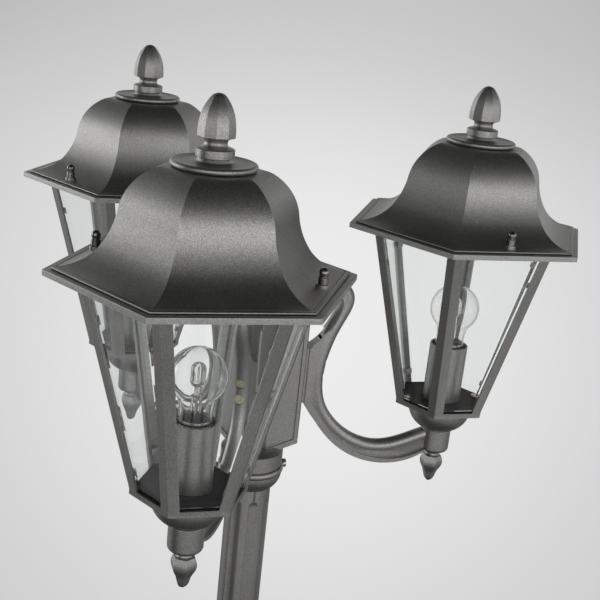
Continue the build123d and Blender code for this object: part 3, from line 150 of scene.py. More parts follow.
class Graph:
    """A node tree that is filled through one node-making method."""

    def __init__(self, tree: bpy.types.NodeTree) -> None:
        """Empties the tree."""
        self.tree = tree
        tree.nodes.clear()

    def add(self, kind: str, settings: dict[str, Any] | None = None,
            inputs: dict[int | str, Any] | None = None) -> bpy.types.Node:
        """Makes a node.

        Args:
            kind: Blender's name of the node's type.
            settings: The node's own settings, set before its sockets. A ramp's stops are given as
                (position, grey level) pairs.
            inputs: Values or links, by the socket's index or name.

        Returns:
            The node.
        """
        node = self.tree.nodes.new(kind)
        for name, setting in (settings or {}).items():
            if name == "stops":
                self._set_stops(node.color_ramp, setting)
            else:
                setattr(node, name, setting)
        for key, given in (inputs or {}).items():
            self._feed(node.inputs[key], given)
        return node

    def value(self, kind: str, settings: dict[str, Any] | None = None,
              inputs: dict[int | str, Any] | None = None, output: int | str = 0) -> Value:
        """Makes a node and wraps one of its outputs.

        Args:
            kind: Blender's name of the node's type.
            settings: The node's own settings.
            inputs: Values or links, by the socket's index or name.
            output: Index or name of the output.

        Returns:
            The wrapped output.
        """
        return Value(self, self.add(kind, settings, inputs).outputs[output])

    def shader(self, kind: str,
               inputs: dict[int | str, Any] | None = None) -> bpy.types.NodeSocket:
        """Makes a shader node and gives its output."""
        return self.add(kind, {}, inputs).outputs[0]

    def _feed(self, socket: bpy.types.NodeSocket, given: Any) -> None:
        """Links or sets one input socket.

        Args:
            socket: The input.
            given: A wrapped value, a socket, a number or a colour.
        """
        if isinstance(given, Value):
            given = given.socket
        if isinstance(given, bpy.types.NodeSocket):
            self.tree.links.new(given, socket)
            return
        if socket.type == "RGBA":
            given = (*given, 1.0)
        socket.default_value = given

    def _set_stops(self, ramp: bpy.types.ColorRamp, stops: Stops) -> None:
        """Gives a colour ramp its stops.

        Args:
            ramp: The ramp.
            stops: (position, grey level) pairs.
        """
        while len(ramp.elements) < len(stops):
            ramp.elements.new(1.0)
        for element, (position, level) in zip(ramp.elements, stops):
            element.position = position
            element.color = (*grey(level), 1.0)

    def object_place(self) -> Value:
        """Object coordinates, in metres."""
        return self.value("ShaderNodeTexCoord", output="Object")

    def noise(self, place: Value, size: float, detail: float = 2.0) -> Value:
        """Noise with a level round 0.5.

        Args:
            place: Coordinates in metres.
            size: Width of the grains in metres.
            detail: Finer layers over the first.

        Returns:
            The noise's level.
        """
        inputs = {"Vector": place, "Scale": 1.0 / size, "Detail": detail, "Roughness": 0.55}
        return self.value("ShaderNodeTexNoise", {}, inputs, "Fac")

    def vector(self, operation: str, inputs: dict[int | str, Any],
               output: str = "Vector") -> Value:
        """Vector Math node of the inputs."""
        return self.value("ShaderNodeVectorMath", {"operation": operation}, inputs, output)

    def squeezed(self, place: Value, factors: Point) -> Value:
        """Coordinates multiplied along each axis: a large factor makes a pattern short there."""
        return self.vector("MULTIPLY", {0: place, 1: factors})

    def towards(self, ray: Value, azimuth: float, height: float) -> Value:
        """Cosine of the angle between a ray and a direction.

        Args:
            ray: The ray.
            azimuth: The direction's angle round Z in degrees, from +X.
            height: Its angle above the horizon in degrees.

        Returns:
            The cosine, 1 where the ray runs along the direction.
        """
        flat, rise = math.radians(azimuth), math.radians(height)
        aim = (math.cos(flat) * math.cos(rise), math.sin(flat) * math.cos(rise), math.sin(rise))
        return self.vector("DOT_PRODUCT", {0: ray, 1: aim}, "Value")

    def _mapped(self, settings: dict[str, Any], level: Value, low: float, high: float) -> Value:
        """Map Range node from low and high to 0 and 1."""
        inputs = {"Value": level, "From Min": low, "From Max": high}
        return self.value("ShaderNodeMapRange", settings, inputs)

    def span(self, level: Value, low: float, high: float) -> Value:
        """Level stretched evenly so that low gives 0 and high gives 1, and clamped."""
        return self._mapped({"clamp": True}, level, low, high)

    def between(self, level: Value, low: float, high: float) -> Value:
        """Level stretched smoothly so that low gives 0 and high gives 1, and clamped."""
        settings = {"clamp": True, "interpolation_type": "SMOOTHSTEP"}
        return self._mapped(settings, level, low, high)

    def graded(self, share: Value, stops: Stops) -> Value:
        """Grey level at a share along a ramp."""
        return self.value("ShaderNodeValToRGB", {"stops": stops}, {"Fac": share}, "Color")

    def mix(self, share: Any, first: Any, second: Any) -> Value:
        """Colour between two colours."""
        settings = {"data_type": "RGBA"}
        return self.value("ShaderNodeMix", settings, {0: share, 6: first, 7: second}, 2)

    def bumps(self, *layers: tuple[Value, float]) -> Value:
        """Normal with bumps.

        Args:
            layers: Height levels with the metres that a level of one stands for.

        Returns:
            The normal.
        """
        height: Any = 0.0
        for level, metres in layers:
            height = level * (metres / MM) + height
        return self.value("ShaderNodeBump", {}, {"Strength": 1.0, "Distance": MM, "Height": height})

    def worn_edges(self, radius: float) -> Value:
        """Finds where a surface turns.

        Args:
            radius: Distance in metres within which it has to turn.

        Returns:
            Share from 0 on flat ground to 1 at an edge.
        """
        rounded = self.value("ShaderNodeBevel", {"samples": 4}, {"Radius": radius}, "Normal")
        true = self.value("ShaderNodeNewGeometry", output="True Normal")
        along = self.vector("DOT_PRODUCT", {0: rounded, 1: true}, "Value")
        return self.between(along, *WORN_AND_HIGHLIGHT_TURN)

    def blend(self, share: Value, first: bpy.types.NodeSocket,
              second: bpy.types.NodeSocket) -> bpy.types.NodeSocket:
        """Shader between two shaders."""
        return self.shader("ShaderNodeMixShader", {0: share, 1: first, 2: second})

    def principled(self, inputs: dict[int | str, Any]) -> None:
        """Makes one Principled shader the material's surface."""
        body = self.shader("ShaderNodeBsdfPrincipled", inputs)
        self.add("ShaderNodeOutputMaterial", {}, {"Surface": body})


def material_graph(name: str) -> tuple[bpy.types.Material, Graph]:
    """Makes a material with an empty node tree.

    Args:
        name: Name of the material.

    Returns:
        The material and its graph.
    """
    material = bpy.data.materials.new(name)
    material.use_nodes = True
    return material, Graph(material.node_tree)


def grey(level: float) -> Colour:
    """Grey of a level."""
    return (level, level, level)


def brighter(tone: Colour) -> Colour:
    """Tone of a lighter edge beside a surface of the given tone: partly wear, partly a painted
    highlight.
    """
    return tuple(min(1.0, channel * WORN_AND_HIGHLIGHT_GAIN) for channel in tone)


# ---- Finishes ------------------------------------------------------------------------------------


@dataclass(frozen=True)
class Coating:
    """Textured powder coat with metal flakes, on a casting, with lighter edges that are partly wear
    and partly a painted highlight.
    """

    name: str
    tone: Colour
    flake_tone: Colour
    metallic: float = 0.97
    roughness: float = 0.42
    gloss: float = 0.4
    grain: float = 0.75 * MM
    grain_height: float = 0.035 * MM
    grain_rough: float = 0.16
    flake_size: float = 0.525 * MM
    flake_range: Range = (0.44, 0.64)
    flake_share: float = 0.65
    cloud_size: float = 60 * MM
    cloud_share: float = 0.3
    cloud_rough: float = 0.1
    wave_size: float = 9 * MM
    wave_height: float = 0.05 * MM
    wear_radius: float = 0.7 * MM
    wear_share: float = 0.3
    wear_polish: float = 0.06

    def build(self) -> bpy.types.Material:
        """Makes the material.

        Returns:
            The material.
        """
        material, graph = material_graph(self.name)
        place = graph.object_place()
        grain = graph.noise(place, self.grain, 3.0)
        flakes = graph.between(graph.noise(place, self.flake_size, 1.0), *self.flake_range)
        clouds = graph.noise(place, self.cloud_size)
        edges = graph.worn_edges(self.wear_radius)
        flaked = flakes * self.flake_share + clouds.swing() * self.cloud_share
        shade = graph.mix(flaked, self.tone, self.flake_tone)
        rough = self.roughness + grain.swing() * self.grain_rough
        rough = rough + clouds.swing() * self.cloud_rough - edges * self.wear_polish
        waves = graph.noise(place, self.wave_size)
        graph.principled({
            # Edges painted lighter: partly wear, partly a painted highlight along the edges.
            "Base Color": graph.mix(edges * self.wear_share, shade, brighter(self.flake_tone)),
            "Metallic": self.metallic,
            "Roughness": rough,
            "Normal": graph.bumps((grain, self.grain_height), (waves, self.wave_height)),
            "Specular IOR Level": self.gloss,
        })
        return material


@dataclass(frozen=True)
class BareMetal:
    """Plated or bare metal with turning marks, stains and brighter edges that are partly wear and
    partly a painted highlight.
    """

    name: str
    tone: Colour
    stain: Colour
    roughness: float
    stain_size: float = 2.5 * MM
    stain_range: Range = (0.4, 0.72)
    stain_share: float = 0.7
    stain_rough: float = 0.16
    scratch_size: float = 0.9 * MM
    scratch_squeeze: Point = (1.0, 1.0, 14.0)
    scratch_rough: float = 0.12
    scratch_height: float = 0.012 * MM
    wear_radius: float = 0.25 * MM
    wear_share: float = 0.6

    def build(self) -> bpy.types.Material:
        """Makes the material.

        Returns:
            The material.
        """
        material, graph = material_graph(self.name)
        place = graph.object_place()
        stains = graph.between(graph.noise(place, self.stain_size, 4.0), *self.stain_range)
        turned = graph.squeezed(place, self.scratch_squeeze)
        scratches = graph.noise(turned, self.scratch_size)
        edges = graph.worn_edges(self.wear_radius)
        stained = graph.mix(stains * self.stain_share, self.tone, self.stain)
        rough = self.roughness + stains * self.stain_rough
        graph.principled({
            # Edges painted brighter: partly wear, partly a painted highlight along the edges.
            "Base Color": graph.mix(edges * self.wear_share, stained, brighter(self.tone)),
            "Metallic": 1.0,
            "Roughness": rough + scratches.swing() * self.scratch_rough,
            "Normal": graph.bumps((scratches, self.scratch_height)),
        })
        return material


@dataclass(frozen=True)
class Glass:
    """Clear glass that lets light rays through, with faint marks where it was wiped."""

    name: str
    tint: Colour
    depth_tint: Colour = (1.0, 1.0, 1.0)
    depth: float = 0.0
    smear: float = 0.0
    index: float = 1.5
    wipe_size: float = 14 * MM
    wipe_squeeze: Point = (1.0, 1.0, 0.25)
    wipe_range: Range = (0.5, 0.8)
    wipe_dimming: float = 0.985
    speck_size: float = 1.1 * MM
    speck_range: Range = (0.74, 0.8)

    def build(self) -> bpy.types.Material:
        """Makes the material.

        Returns:
            The material.
        """
        material, graph = material_graph(self.name)
        place = graph.object_place()
        strokes = graph.noise(graph.squeezed(place, self.wipe_squeeze), self.wipe_size, 4.0)
        wiped = graph.between(strokes, *self.wipe_range)
        specks = graph.between(graph.noise(place, self.speck_size, 1.0), *self.speck_range)
        dimmed = tuple(channel * self.wipe_dimming for channel in self.tint)
        body = graph.shader("ShaderNodeBsdfPrincipled", {
            "Base Color": graph.mix(wiped, self.tint, dimmed),
            "Roughness": (wiped + specks) * self.smear,
            "IOR": self.index,
            "Transmission Weight": 1.0,
        })
        passing = graph.shader("ShaderNodeBsdfTransparent", {"Color": self.tint})
        shadow = graph.value("ShaderNodeLightPath", output="Is Shadow Ray")
        inputs = {"Surface": graph.blend(shadow, body, passing)}
        if self.depth > 0:
            inputs["Volume"] = graph.shader("ShaderNodeVolumeAbsorption", {
                "Color": self.depth_tint, "Density": self.depth})
        graph.add("ShaderNodeOutputMaterial", {}, inputs)
        return material


@dataclass(frozen=True)
class Moulded:
    """Moulded plastic with a fine grain, dust on it, and paler edges that are partly wear and partly
    a painted highlight.
    """

    name: str
    tone: Colour
    dust: Colour
    roughness: float
    grain: float = 0.5 * MM
    grain_height: float = 0.02 * MM
    grain_rough: float = 0.1
    dust_size: float = 11 * MM
    dust_range: Range = (0.45, 0.75)
    dust_share: float = 0.5
    dust_rough: float = 0.15
    wear_radius: float = 0.3 * MM
    wear_share: float = 0.3

    def build(self) -> bpy.types.Material:
        """Makes the material.

        Returns:
            The material.
        """
        material, graph = material_graph(self.name)
        place = graph.object_place()
        grain = graph.noise(place, self.grain)
        dusty = graph.between(graph.noise(place, self.dust_size, 4.0), *self.dust_range)
        # Dust, plus edges painted paler: partly wear, partly a painted highlight along the edges.
        pale = dusty * self.dust_share + graph.worn_edges(self.wear_radius) * self.wear_share
        rough = self.roughness + dusty * self.dust_rough
        graph.principled({
            "Base Color": graph.mix(pale, self.tone, self.dust),
            "Roughness": rough + grain.swing() * self.grain_rough,
            "Normal": graph.bumps((grain, self.grain_height)),
        })
        return material


Finish = Coating | BareMetal | Glass | Moulded

GRAPHITE = Coating("graphite_powder_coat", (0.3, 0.297, 0.29), (0.68, 0.672, 0.655))
FLOOR_BLACK = Coating("floor_plate_black", (0.008, 0.0075, 0.007), (0.02, 0.018, 0.015),
                      metallic=0.0, roughness=0.5, gloss=0.12)
PANE = Glass("pane_glass", (0.997, 1.0, 0.998), (0.45, 0.82, 0.7), depth=7.0, smear=0.006,
             index=1.3)
LAMP_GLASS = Glass("lamp_glass", (1.0, 1.0, 1.0))
QUARTZ = Glass("quartz", (0.99, 0.99, 0.99), index=1.46)
NICKEL = BareMetal("nickel_plate", (0.62, 0.58, 0.52), (0.25, 0.2, 0.14), 0.24)
CAP_METAL = BareMetal("cap_nut_metal", (0.34, 0.33, 0.32), (0.16, 0.155, 0.15), 0.16)
STEEL = BareMetal("steel", (0.5, 0.5, 0.5), (0.22, 0.21, 0.2), 0.32)
YELLOW_ZINC = BareMetal("yellow_zinc_plate", (0.92, 0.86, 0.62), (0.6, 0.52, 0.34), 0.24)
COPPER = BareMetal("copper_lead", (0.62, 0.4, 0.3), (0.35, 0.2, 0.14), 0.35)
HOLDER_PLASTIC = Moulded("holder_plastic", (0.02, 0.018, 0.016), (0.09, 0.075, 0.06), 0.4)
BLOCK_PLASTIC = Moulded("block_plastic", (0.62, 0.62, 0.6), (0.45, 0.44, 0.42), 0.5)


# ---- Making pieces -------------------------------------------------------------------------------


def as_object(name: str, bm: Shape, finish: bpy.types.Material,
              sharp: float = SMOOTH_ANGLE) -> bpy.types.Object:
    """Turns a bmesh into an object at the origin, smooth up to an angle.

    Args:
        name: Name of the object.
        bm: The shape, which is freed.
        finish: Its material.
        sharp: Angle in degrees from which an edge stays sharp.

    Returns:
        The object.
    """
    mesh = bpy.data.meshes.new(name)
    bm.to_mesh(mesh)
    bm.free()
    if "custom_normal" in mesh.attributes:
        mesh.attributes.remove(mesh.attributes["custom_normal"])
    mesh.shade_smooth()
    mesh.set_sharp_from_angle(angle=math.radians(sharp))
    mesh.materials.append(finish)
    piece = bpy.data.objects.new(name, mesh)
    bpy.context.scene.collection.objects.link(piece)
    return piece


def lathe(profile: Sequence[tuple[float, float]], steps: int = 40) -> Shape:
    """Turns a profile about Z.

    Args:
        profile: (radius, level) points in millimetres, closed by the axis or its first point.
        steps: Sides of the turned shape.

    Returns:
        The shape, in metres.
    """
    bm = bmesh.new()
    chain = [bm.verts.new((radius * MM, 0.0, level * MM)) for radius, level in profile]
    edges = [bm.edges.new(pair) for pair in zip(chain, chain[1:])]
    bmesh.ops.spin(bm, geom=chain + edges, cent=(0, 0, 0), axis=(0, 0, 1), angle=math.tau,
                   steps=steps, use_merge=True, use_duplicate=False)
    bmesh.ops.remove_doubles(bm, verts=bm.verts, dist=LATHE_MERGE_DISTANCE)
    bmesh.ops.recalc_face_normals(bm, faces=bm.faces)
    return bm


def joined(shapes: Iterable[Shape]) -> Shape:
    """Puts several shapes into one.

    Args:
        shapes: The shapes, which are freed.

    Returns:
        The one shape that holds them all.
    """
    whole = bmesh.new()
    for shape in shapes:
        mesh = bpy.data.meshes.new("joining")
        shape.to_mesh(mesh)
        shape.free()
        whole.from_mesh(mesh)
        bpy.data.meshes.remove(mesh)
    return whole


def rod(start: Point, end: Point, radius: float, sides: int = 10) -> Shape:
    """Makes a round rod between two points.

    Args:
        start: First end in millimetres.
        end: Last end in millimetres.
        radius: Radius in millimetres.
        sides: Sides of the rod.

    Returns:
        The shape, in metres.
    """
    bm = bmesh.new()
    first, last = Vector(start) * MM, Vector(end) * MM
    along = last - first
    bmesh.ops.create_cone(bm, cap_ends=True, segments=sides, radius1=radius * MM,
                          radius2=radius * MM, depth=along.length)
    turn = along.to_track_quat("Z", "Y").to_matrix().to_4x4()
    middle = Matrix.Translation((first + last) / 2)
    bmesh.ops.transform(bm, matrix=middle @ turn, verts=bm.verts)
    return bm


def block(size: Point, centre: Point, rounding: float) -> Shape:
    """Makes a block with rounded edges.

    Args:
        size: Width, depth and height in millimetres.
        centre: Its middle in millimetres.
        rounding: Radius of the edges in millimetres.

    Returns:
        The shape, in metres.
    """
    bm = bmesh.new()
    bmesh.ops.create_cube(bm, size=1.0)
    bmesh.ops.scale(bm, vec=Vector(size) * MM, verts=bm.verts)
    bmesh.ops.bevel(bm, geom=bm.edges, offset=rounding * MM, affect="EDGES", segments=3,
                    profile=0.5, material=-1)
    bmesh.ops.translate(bm, vec=Vector(centre) * MM, verts=bm.verts)
    return bm


@dataclass
class Workshop:
    """The loaded frame and the finishes, shared by the sub-assemblies."""

    nodes: dict[str, bpy.types.Object]
    body_of_node: dict[str, str]
    materials: dict[str, bpy.types.Material] = field(default_factory=dict)

    def finish(self, finish: Finish) -> bpy.types.Material:
        """Gives the material of a finish, made once.

        Args:
            finish: The finish.

        Returns:
            Its material.
        """
        if finish.name not in self.materials:
            self.materials[finish.name] = finish.build()
        return self.materials[finish.name]

    def coat(self, node: str, finish: Finish, slot: str) -> None:
        """Gives a frame node that keeps its shape its material.

        Args:
            node: Name of the node.
            finish: Its finish.
            slot: Its material slot; not used.
        """
        piece = self.nodes[node]
        piece.data.materials.clear()
        piece.data.materials.append(self.finish(finish))

    def casting(self, node: str, finish: Finish, slot: str, edge: float,
                sharp: float = SOFT_ANGLE, crease: float = SOFT_ANGLE) -> None:
        """Replaces a frame node by a merged copy with soft edges.

        Args:
            node: Name of the node.
            finish: Its finish.
            slot: Its material slot; not used.
            edge: Width of the softened edges in millimetres.
            sharp: Angle in degrees from which an edge is softened.
            crease: Angle in degrees from which the shading breaks at an edge.
        """
        bm = bmesh.new()
        bm.from_mesh(self.nodes[node].data)
        bmesh.ops.remove_doubles(bm, verts=bm.verts, dist=MERGE_DISTANCE)
        bmesh.ops.dissolve_limit(bm, angle_limit=math.radians(FLAT_ANGLE),
                                 use_dissolve_boundaries=False, verts=bm.verts, edges=bm.edges,
                                 delimit=set())
        piece = as_object(f"{node}_cast", bm, self.finish(finish), crease)
        soft = piece.modifiers.new("soft_edges", "BEVEL")
        soft.width = edge * MM
        soft.segments = 2
        soft.limit_method = "ANGLE"
        soft.angle_limit = math.radians(sharp)
        soft.harden_normals = True
        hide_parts(node)
        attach(piece, self.body_of_node[node])

    def place(self, piece: bpy.types.Object, body: str, slot: str, where: Matrix) -> None:
        """Moves a new piece's mesh into place and lets it ride on a body.

        Args:
            piece: The piece.
            body: Name of the body.
            slot: The piece's material slot; not used.
            where: Its place in the part's frame.
        """
        piece.data.transform(where)
        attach(piece, body)


# ---- Sub-assemblies ------------------------------------------------------------------------------


class Assembly(Protocol):
    """A sub-assembly of the lamp post."""

    def build(self) -> list[str]:
        """Dresses the pieces and returns their names."""


@dataclass
class Roof:
    """Bell-shaped roof with its cap nuts, disc and finial, which lift off together.

    Edges are widths in millimetres, creases angles in degrees.
    """

    shop: Workshop
    side: Side
    edge: float = 0.55
    crease: float = 9.0
    disc_edge: float = 0.4
    finial_edge: float = 0.5
    finial_crease: float = 20.0
    nut_edge: float = 0.25

    def build(self) -> list[str]:
        """Dresses the roof's pieces.

        Returns:
            Their names.
        """
        label = self.side.label
        names = [f"{piece}_{label}" for piece in ("roof", "roof_disc", "finial", "roof_nuts")]
        roof, disc, finial, nuts = names
        self.shop.casting(roof, GRAPHITE, "powder_coat", self.edge, crease=self.crease)
        self.shop.casting(disc, GRAPHITE, "powder_coat", self.disc_edge)
        self.shop.casting(finial, GRAPHITE, "powder_coat", self.finial_edge,
                          self.finial_crease, self.finial_crease)
        self.shop.casting(nuts, CAP_METAL, "nut_metal", self.nut_edge)
        return names


@dataclass
class Cage:
    """Open frame of a lantern with its panes, floor, sleeve, lampholder and lower castings."""

    shop: Workshop
    side: Side
    floor_edge: float = 0.2

    def build(self) -> list[str]:
        """Dresses the cage's pieces.

        Returns:
            Their names.
        """
        label = self.side.label
        edges = {"cage": 0.4, "sleeve": 0.35, "cup": 0.4, "drop_finial": 0.5}
        for piece, edge in edges.items():
            self.shop.casting(f"{piece}_{label}", GRAPHITE, "powder_coat", edge)
        self.shop.casting(f"floor_plate_{label}", FLOOR_BLACK, "floor_paint", self.floor_edge)
        self.shop.coat(f"glass_panes_{label}", PANE, "pane_glass")
        self.shop.coat(f"lampholder_{label}", HOLDER_PLASTIC, "holder_plastic")
        pieces = (*edges, "floor_plate", "glass_panes", "lampholder")
        return [f"{piece}_{label}" for piece in pieces]


@dataclass
class Bulb:
    """Clear round bulb with a quartz capsule, its filament, leads and threaded cap.

    Measures are in millimetres, levels from the lantern's ring as in the frame, and X from the
    lantern's axis along its arm.
    """

    shop: Workshop
    side: Side
    capsule_radius: float = 5.8
    capsule_wall: float = 0.9
    capsule_top: float = -69.0
    capsule_bottom: float = -88.0
    capsule_waist: float = 3.0
    capsule_toe: tuple[float, float] = (0.8, 0.8)  # share of the radius, and height
    capsule_foot: float = 2.6
    hollow_waist: float = 3.4
    hollow_foot: float = 2.2
    hollow_floor: float = 2.0
    dome_step: int = 15
    dome_points: int = 7
    pinch: Point = (7.4, 2.8, 9.0)
    pinch_rounding: float = 0.8
    pinch_sink: float = 0.4
    stem_radius: float = 4.2
    stem_wall: float = 0.7
    stem_foot: float = -133.0
    stem_sink: float = 1.0
    coil_rise: float = 5.5
    coil_length: float = 9.0
    coil_radius: float = 0.75
    coil_wire: float = 0.17
    coil_turns: int = 11
    coil_steps: int = 12
    coil_sides: int = 6
    prop_out: float = 2.6
    prop_radius: float = 0.22
    lead_radius: float = 0.45
    lead_sink: float = 0.8
    lead_top: float = 2.3
    lead_foot: tuple[float, float] = (3.4, 1.0)  # out along X, and aside along Y
    lead_bends: tuple[float, float] = (9.0, 14.0)  # under the pinch
    lead_out: float = 8.0
    strap_size: Point = (3.0, 0.5, 16.0)
    strap_drop: float = 7.0
    strap_forward: float = 0.2
    strap_rounding: float = 0.15
    bridge_height: float = 2.2
    bridge_drop: float = 0.8

    def _dome(self, radius: float) -> list[tuple[float, float]]:
        """Quarter arc from the capsule's top, in (radius, level) points.

        Args:
            radius: Radius of the arc, about the middle of the outer dome.

        Returns:
            The points.
        """
        centre = self.capsule_top - self.capsule_radius
        arc = [math.radians(90 - self.dome_step * step) for step in range(self.dome_points)]
        return [(radius * math.cos(a), centre + radius * math.sin(a)) for a in arc]

    def _lead_level(self) -> float:
        """Level at which the leads enter the pinch."""
        return self.capsule_bottom - self.pinch[2] + self.lead_sink

    def capsule(self) -> Shape:
        """Makes the hollow quartz dome, its flat pinch and the tube that carries it.

        Returns:
            The shape.
        """
        bottom = self.capsule_bottom
        toe_share, toe_height = self.capsule_toe
        outer = self._dome(self.capsule_radius) + [
            (self.capsule_radius, bottom + self.capsule_waist),
            (self.capsule_radius * toe_share, bottom + toe_height),
            (self.capsule_foot, bottom), (0, bottom)]
        hollow_radius = self.capsule_radius - self.capsule_wall
        hollow = self._dome(hollow_radius) + [
            (hollow_radius, bottom + self.hollow_waist),
            (self.hollow_foot, bottom + self.hollow_floor), (0, bottom + self.hollow_floor)]
        dome, space = lathe(outer), lathe(hollow)
        bmesh.ops.reverse_faces(space, faces=space.faces)
        middle = bottom - self.pinch[2] / 2 + self.pinch_sink
        pinch = block(self.pinch, (0, 0, middle), self.pinch_rounding)
        stem_top = bottom - self.pinch[2] + self.stem_sink
        bore = self.stem_radius - self.stem_wall
        tube = lathe([(self.stem_radius, stem_top), (self.stem_radius, self.stem_foot),
                      (bore, self.stem_foot), (bore, stem_top), (self.stem_radius, stem_top)])
        return joined([dome, space, pinch, tube])

    def filament(self) -> Shape:
        """Makes the upright coil of tungsten wire and the wires that hold it.

        Returns:
            The shape.
        """
        low = self.capsule_bottom + self.coil_rise
        high = low + self.coil_length
        x, out = self.coil_radius, -self.prop_out
        bm = bmesh.new()
        bmesh.ops.create_circle(bm, segments=self.coil_sides, radius=self.coil_wire * MM)
        turn = Matrix.Translation((x * MM, 0, low * MM)) @ Matrix.Rotation(math.pi / 2, 4, "X")
        bmesh.ops.transform(bm, matrix=turn, verts=bm.verts)
        steps = self.coil_turns * self.coil_steps
        bmesh.ops.spin(bm, geom=bm.verts[:] + bm.edges[:], cent=(0, 0, 0), axis=(0, 0, 1),
                       dvec=(0, 0, self.coil_length * MM / steps),
                       angle=math.tau * self.coil_turns, steps=steps, use_merge=False,
                       use_duplicate=False)
        ends = [edge for edge in bm.edges if edge.is_boundary]
        bmesh.ops.holes_fill(bm, edges=ends, sides=self.coil_sides)
        bmesh.ops.recalc_face_normals(bm, faces=bm.faces)
        return joined([
            bm,
            rod((x, 0, self.capsule_bottom), (x, 0, low), self.prop_radius),
            rod((out, 0, self.capsule_bottom), (out, 0, high), self.prop_radius),
            rod((out, 0, high), (x, 0, high), self.prop_radius),
        ])

    def leads(self) -> Shape:
        """Makes the steel leads from the cap's floor to the pinch.

        Returns:
            The shape.
        """
        under = self._lead_level()
        foot_out, aside = self.lead_foot
        upper, lower = self.lead_bends
        route = [(-self.lead_top, 0, under), (-self.lead_top, -aside, under - upper),
                 (-self.lead_out, -aside, under - lower), (-self.lead_out, -aside, self.stem_foot)]
        straight = rod((self.lead_top, 0, under), (foot_out, aside, self.stem_foot),
                       self.lead_radius)
        bent = [rod(start, end, self.lead_radius) for start, end in zip(route, route[1:])]
        return joined([straight, *bent])

    def strap(self) -> Shape:
        """Makes the flat copper lead that stands beside the pinch.

        Returns:
            The shape.
        """
        width, thickness, _ = self.strap_size
        upright = block(self.strap_size, (-self.lead_out, self.strap_forward,
                                          self.capsule_bottom - self.strap_drop),
                        self.strap_rounding)
        bridge = block((self.lead_out - width, thickness, self.bridge_height),
                       (-(self.lead_out + width) / 2, self.strap_forward,
                        self.capsule_bottom - self.bridge_drop), self.strap_rounding)
        return joined([upright, bridge])

    def build(self) -> list[str]:
        """Builds the lamp's pieces.

        Returns:
            Their names.
        """
        label = self.side.label
        self.shop.coat(f"bulb_glass_{label}", LAMP_GLASS, "bulb_glass")
        self.shop.coat(f"bulb_cap_{label}", NICKEL, "nickel")
        made = {
            "quartz_capsule": (self.capsule(), QUARTZ, "quartz"),
            "filament": (self.filament(), STEEL, "nickel"),
            "lamp_leads": (self.leads(), STEEL, "nickel"),
            "copper_strap": (self.strap(), COPPER, "nickel"),
        }
        for name, (shape, finish, slot) in made.items():
            piece = as_object(f"{name}_{label}", shape, self.shop.finish(finish))
            self.shop.place(piece, f"bulb_{label}_body", slot, self.side.place())
            if name == "quartz_capsule":
                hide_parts(f"bulb_capsule_{label}")
        return [f"{name}_{label}" for name in ("bulb_glass", "bulb_cap", *made)]


@dataclass
class Arm:
    """Scrolled arm of one lantern."""

    shop: Workshop
    side: Side
    edge: float = 0.5

    def build(self) -> list[str]:
        """Dresses the arm.

        Returns:
            Its name.
        """
        name = f"arm_{self.side.label}"
        self.shop.casting(name, GRAPHITE, "powder_coat", self.edge)
        return [name]


@dataclass
class Post:
    """Head, tubes, coupling and base, with what they hold."""

    shop: Workshop

    def build(self) -> list[str]:
        """Dresses the post's pieces.

        Returns:
            Their names.
        """
        edges = {"head": 0.5, "head_lid": 0.8, "lid_screw": 0.3, "upper_tube": 0.8,
                 "coupling": 0.5, "lower_tube": 0.9, "base": 0.6}
        for node, edge in edges.items():
            self.shop.casting(node, GRAPHITE, "powder_coat", edge)
        self.shop.coat("terminal_block", BLOCK_PLASTIC, "holder_plastic")
        return [*edges, "terminal_block"]


@dataclass
class Fasteners:
    """Screws, studs, clips, nipples and nuts of the whole part."""

    shop: Workshop

    def build(self) -> list[str]:
        """Dresses the small metal.

        Returns:
            Its names.
        """
        small = {
            "arm_screws": (YELLOW_ZINC, "yellow_zinc", 0.3),
            "floor_screws": (YELLOW_ZINC, "yellow_zinc", 0.15),
            "set_screws": (STEEL, "stud_steel", 0.25),
            "roof_studs": (STEEL, "stud_steel", 0.2),
            "glass_clips": (STEEL, "stud_steel", 0.15),
            "nipples": (STEEL, "stud_steel", 0.15),
            "nipple_nuts": (STEEL, "stud_steel", 0.2),
        }
        for node, (finish, slot, edge) in small.items():
            self.shop.casting(node, finish, slot, edge)
        return list(small)


# ---- Studio --------------------------------------------------------------------------------------


@dataclass(frozen=True)
class Softbox:
    """Area lamp: its middle and size in metres, and its brightness, where 1 is white."""

    name: str
    place: Point
    size: float
    radiance: float


@dataclass(frozen=True)
class Direction:
    """Angle round Z from +X and angle above the horizon, both in degrees."""

    azimuth: float
    height: float

    def along(self, graph: Graph, ray: Value) -> Value:
        """Cosine of the angle between a ray and this direction."""
        return graph.towards(ray, self.azimuth, self.height)


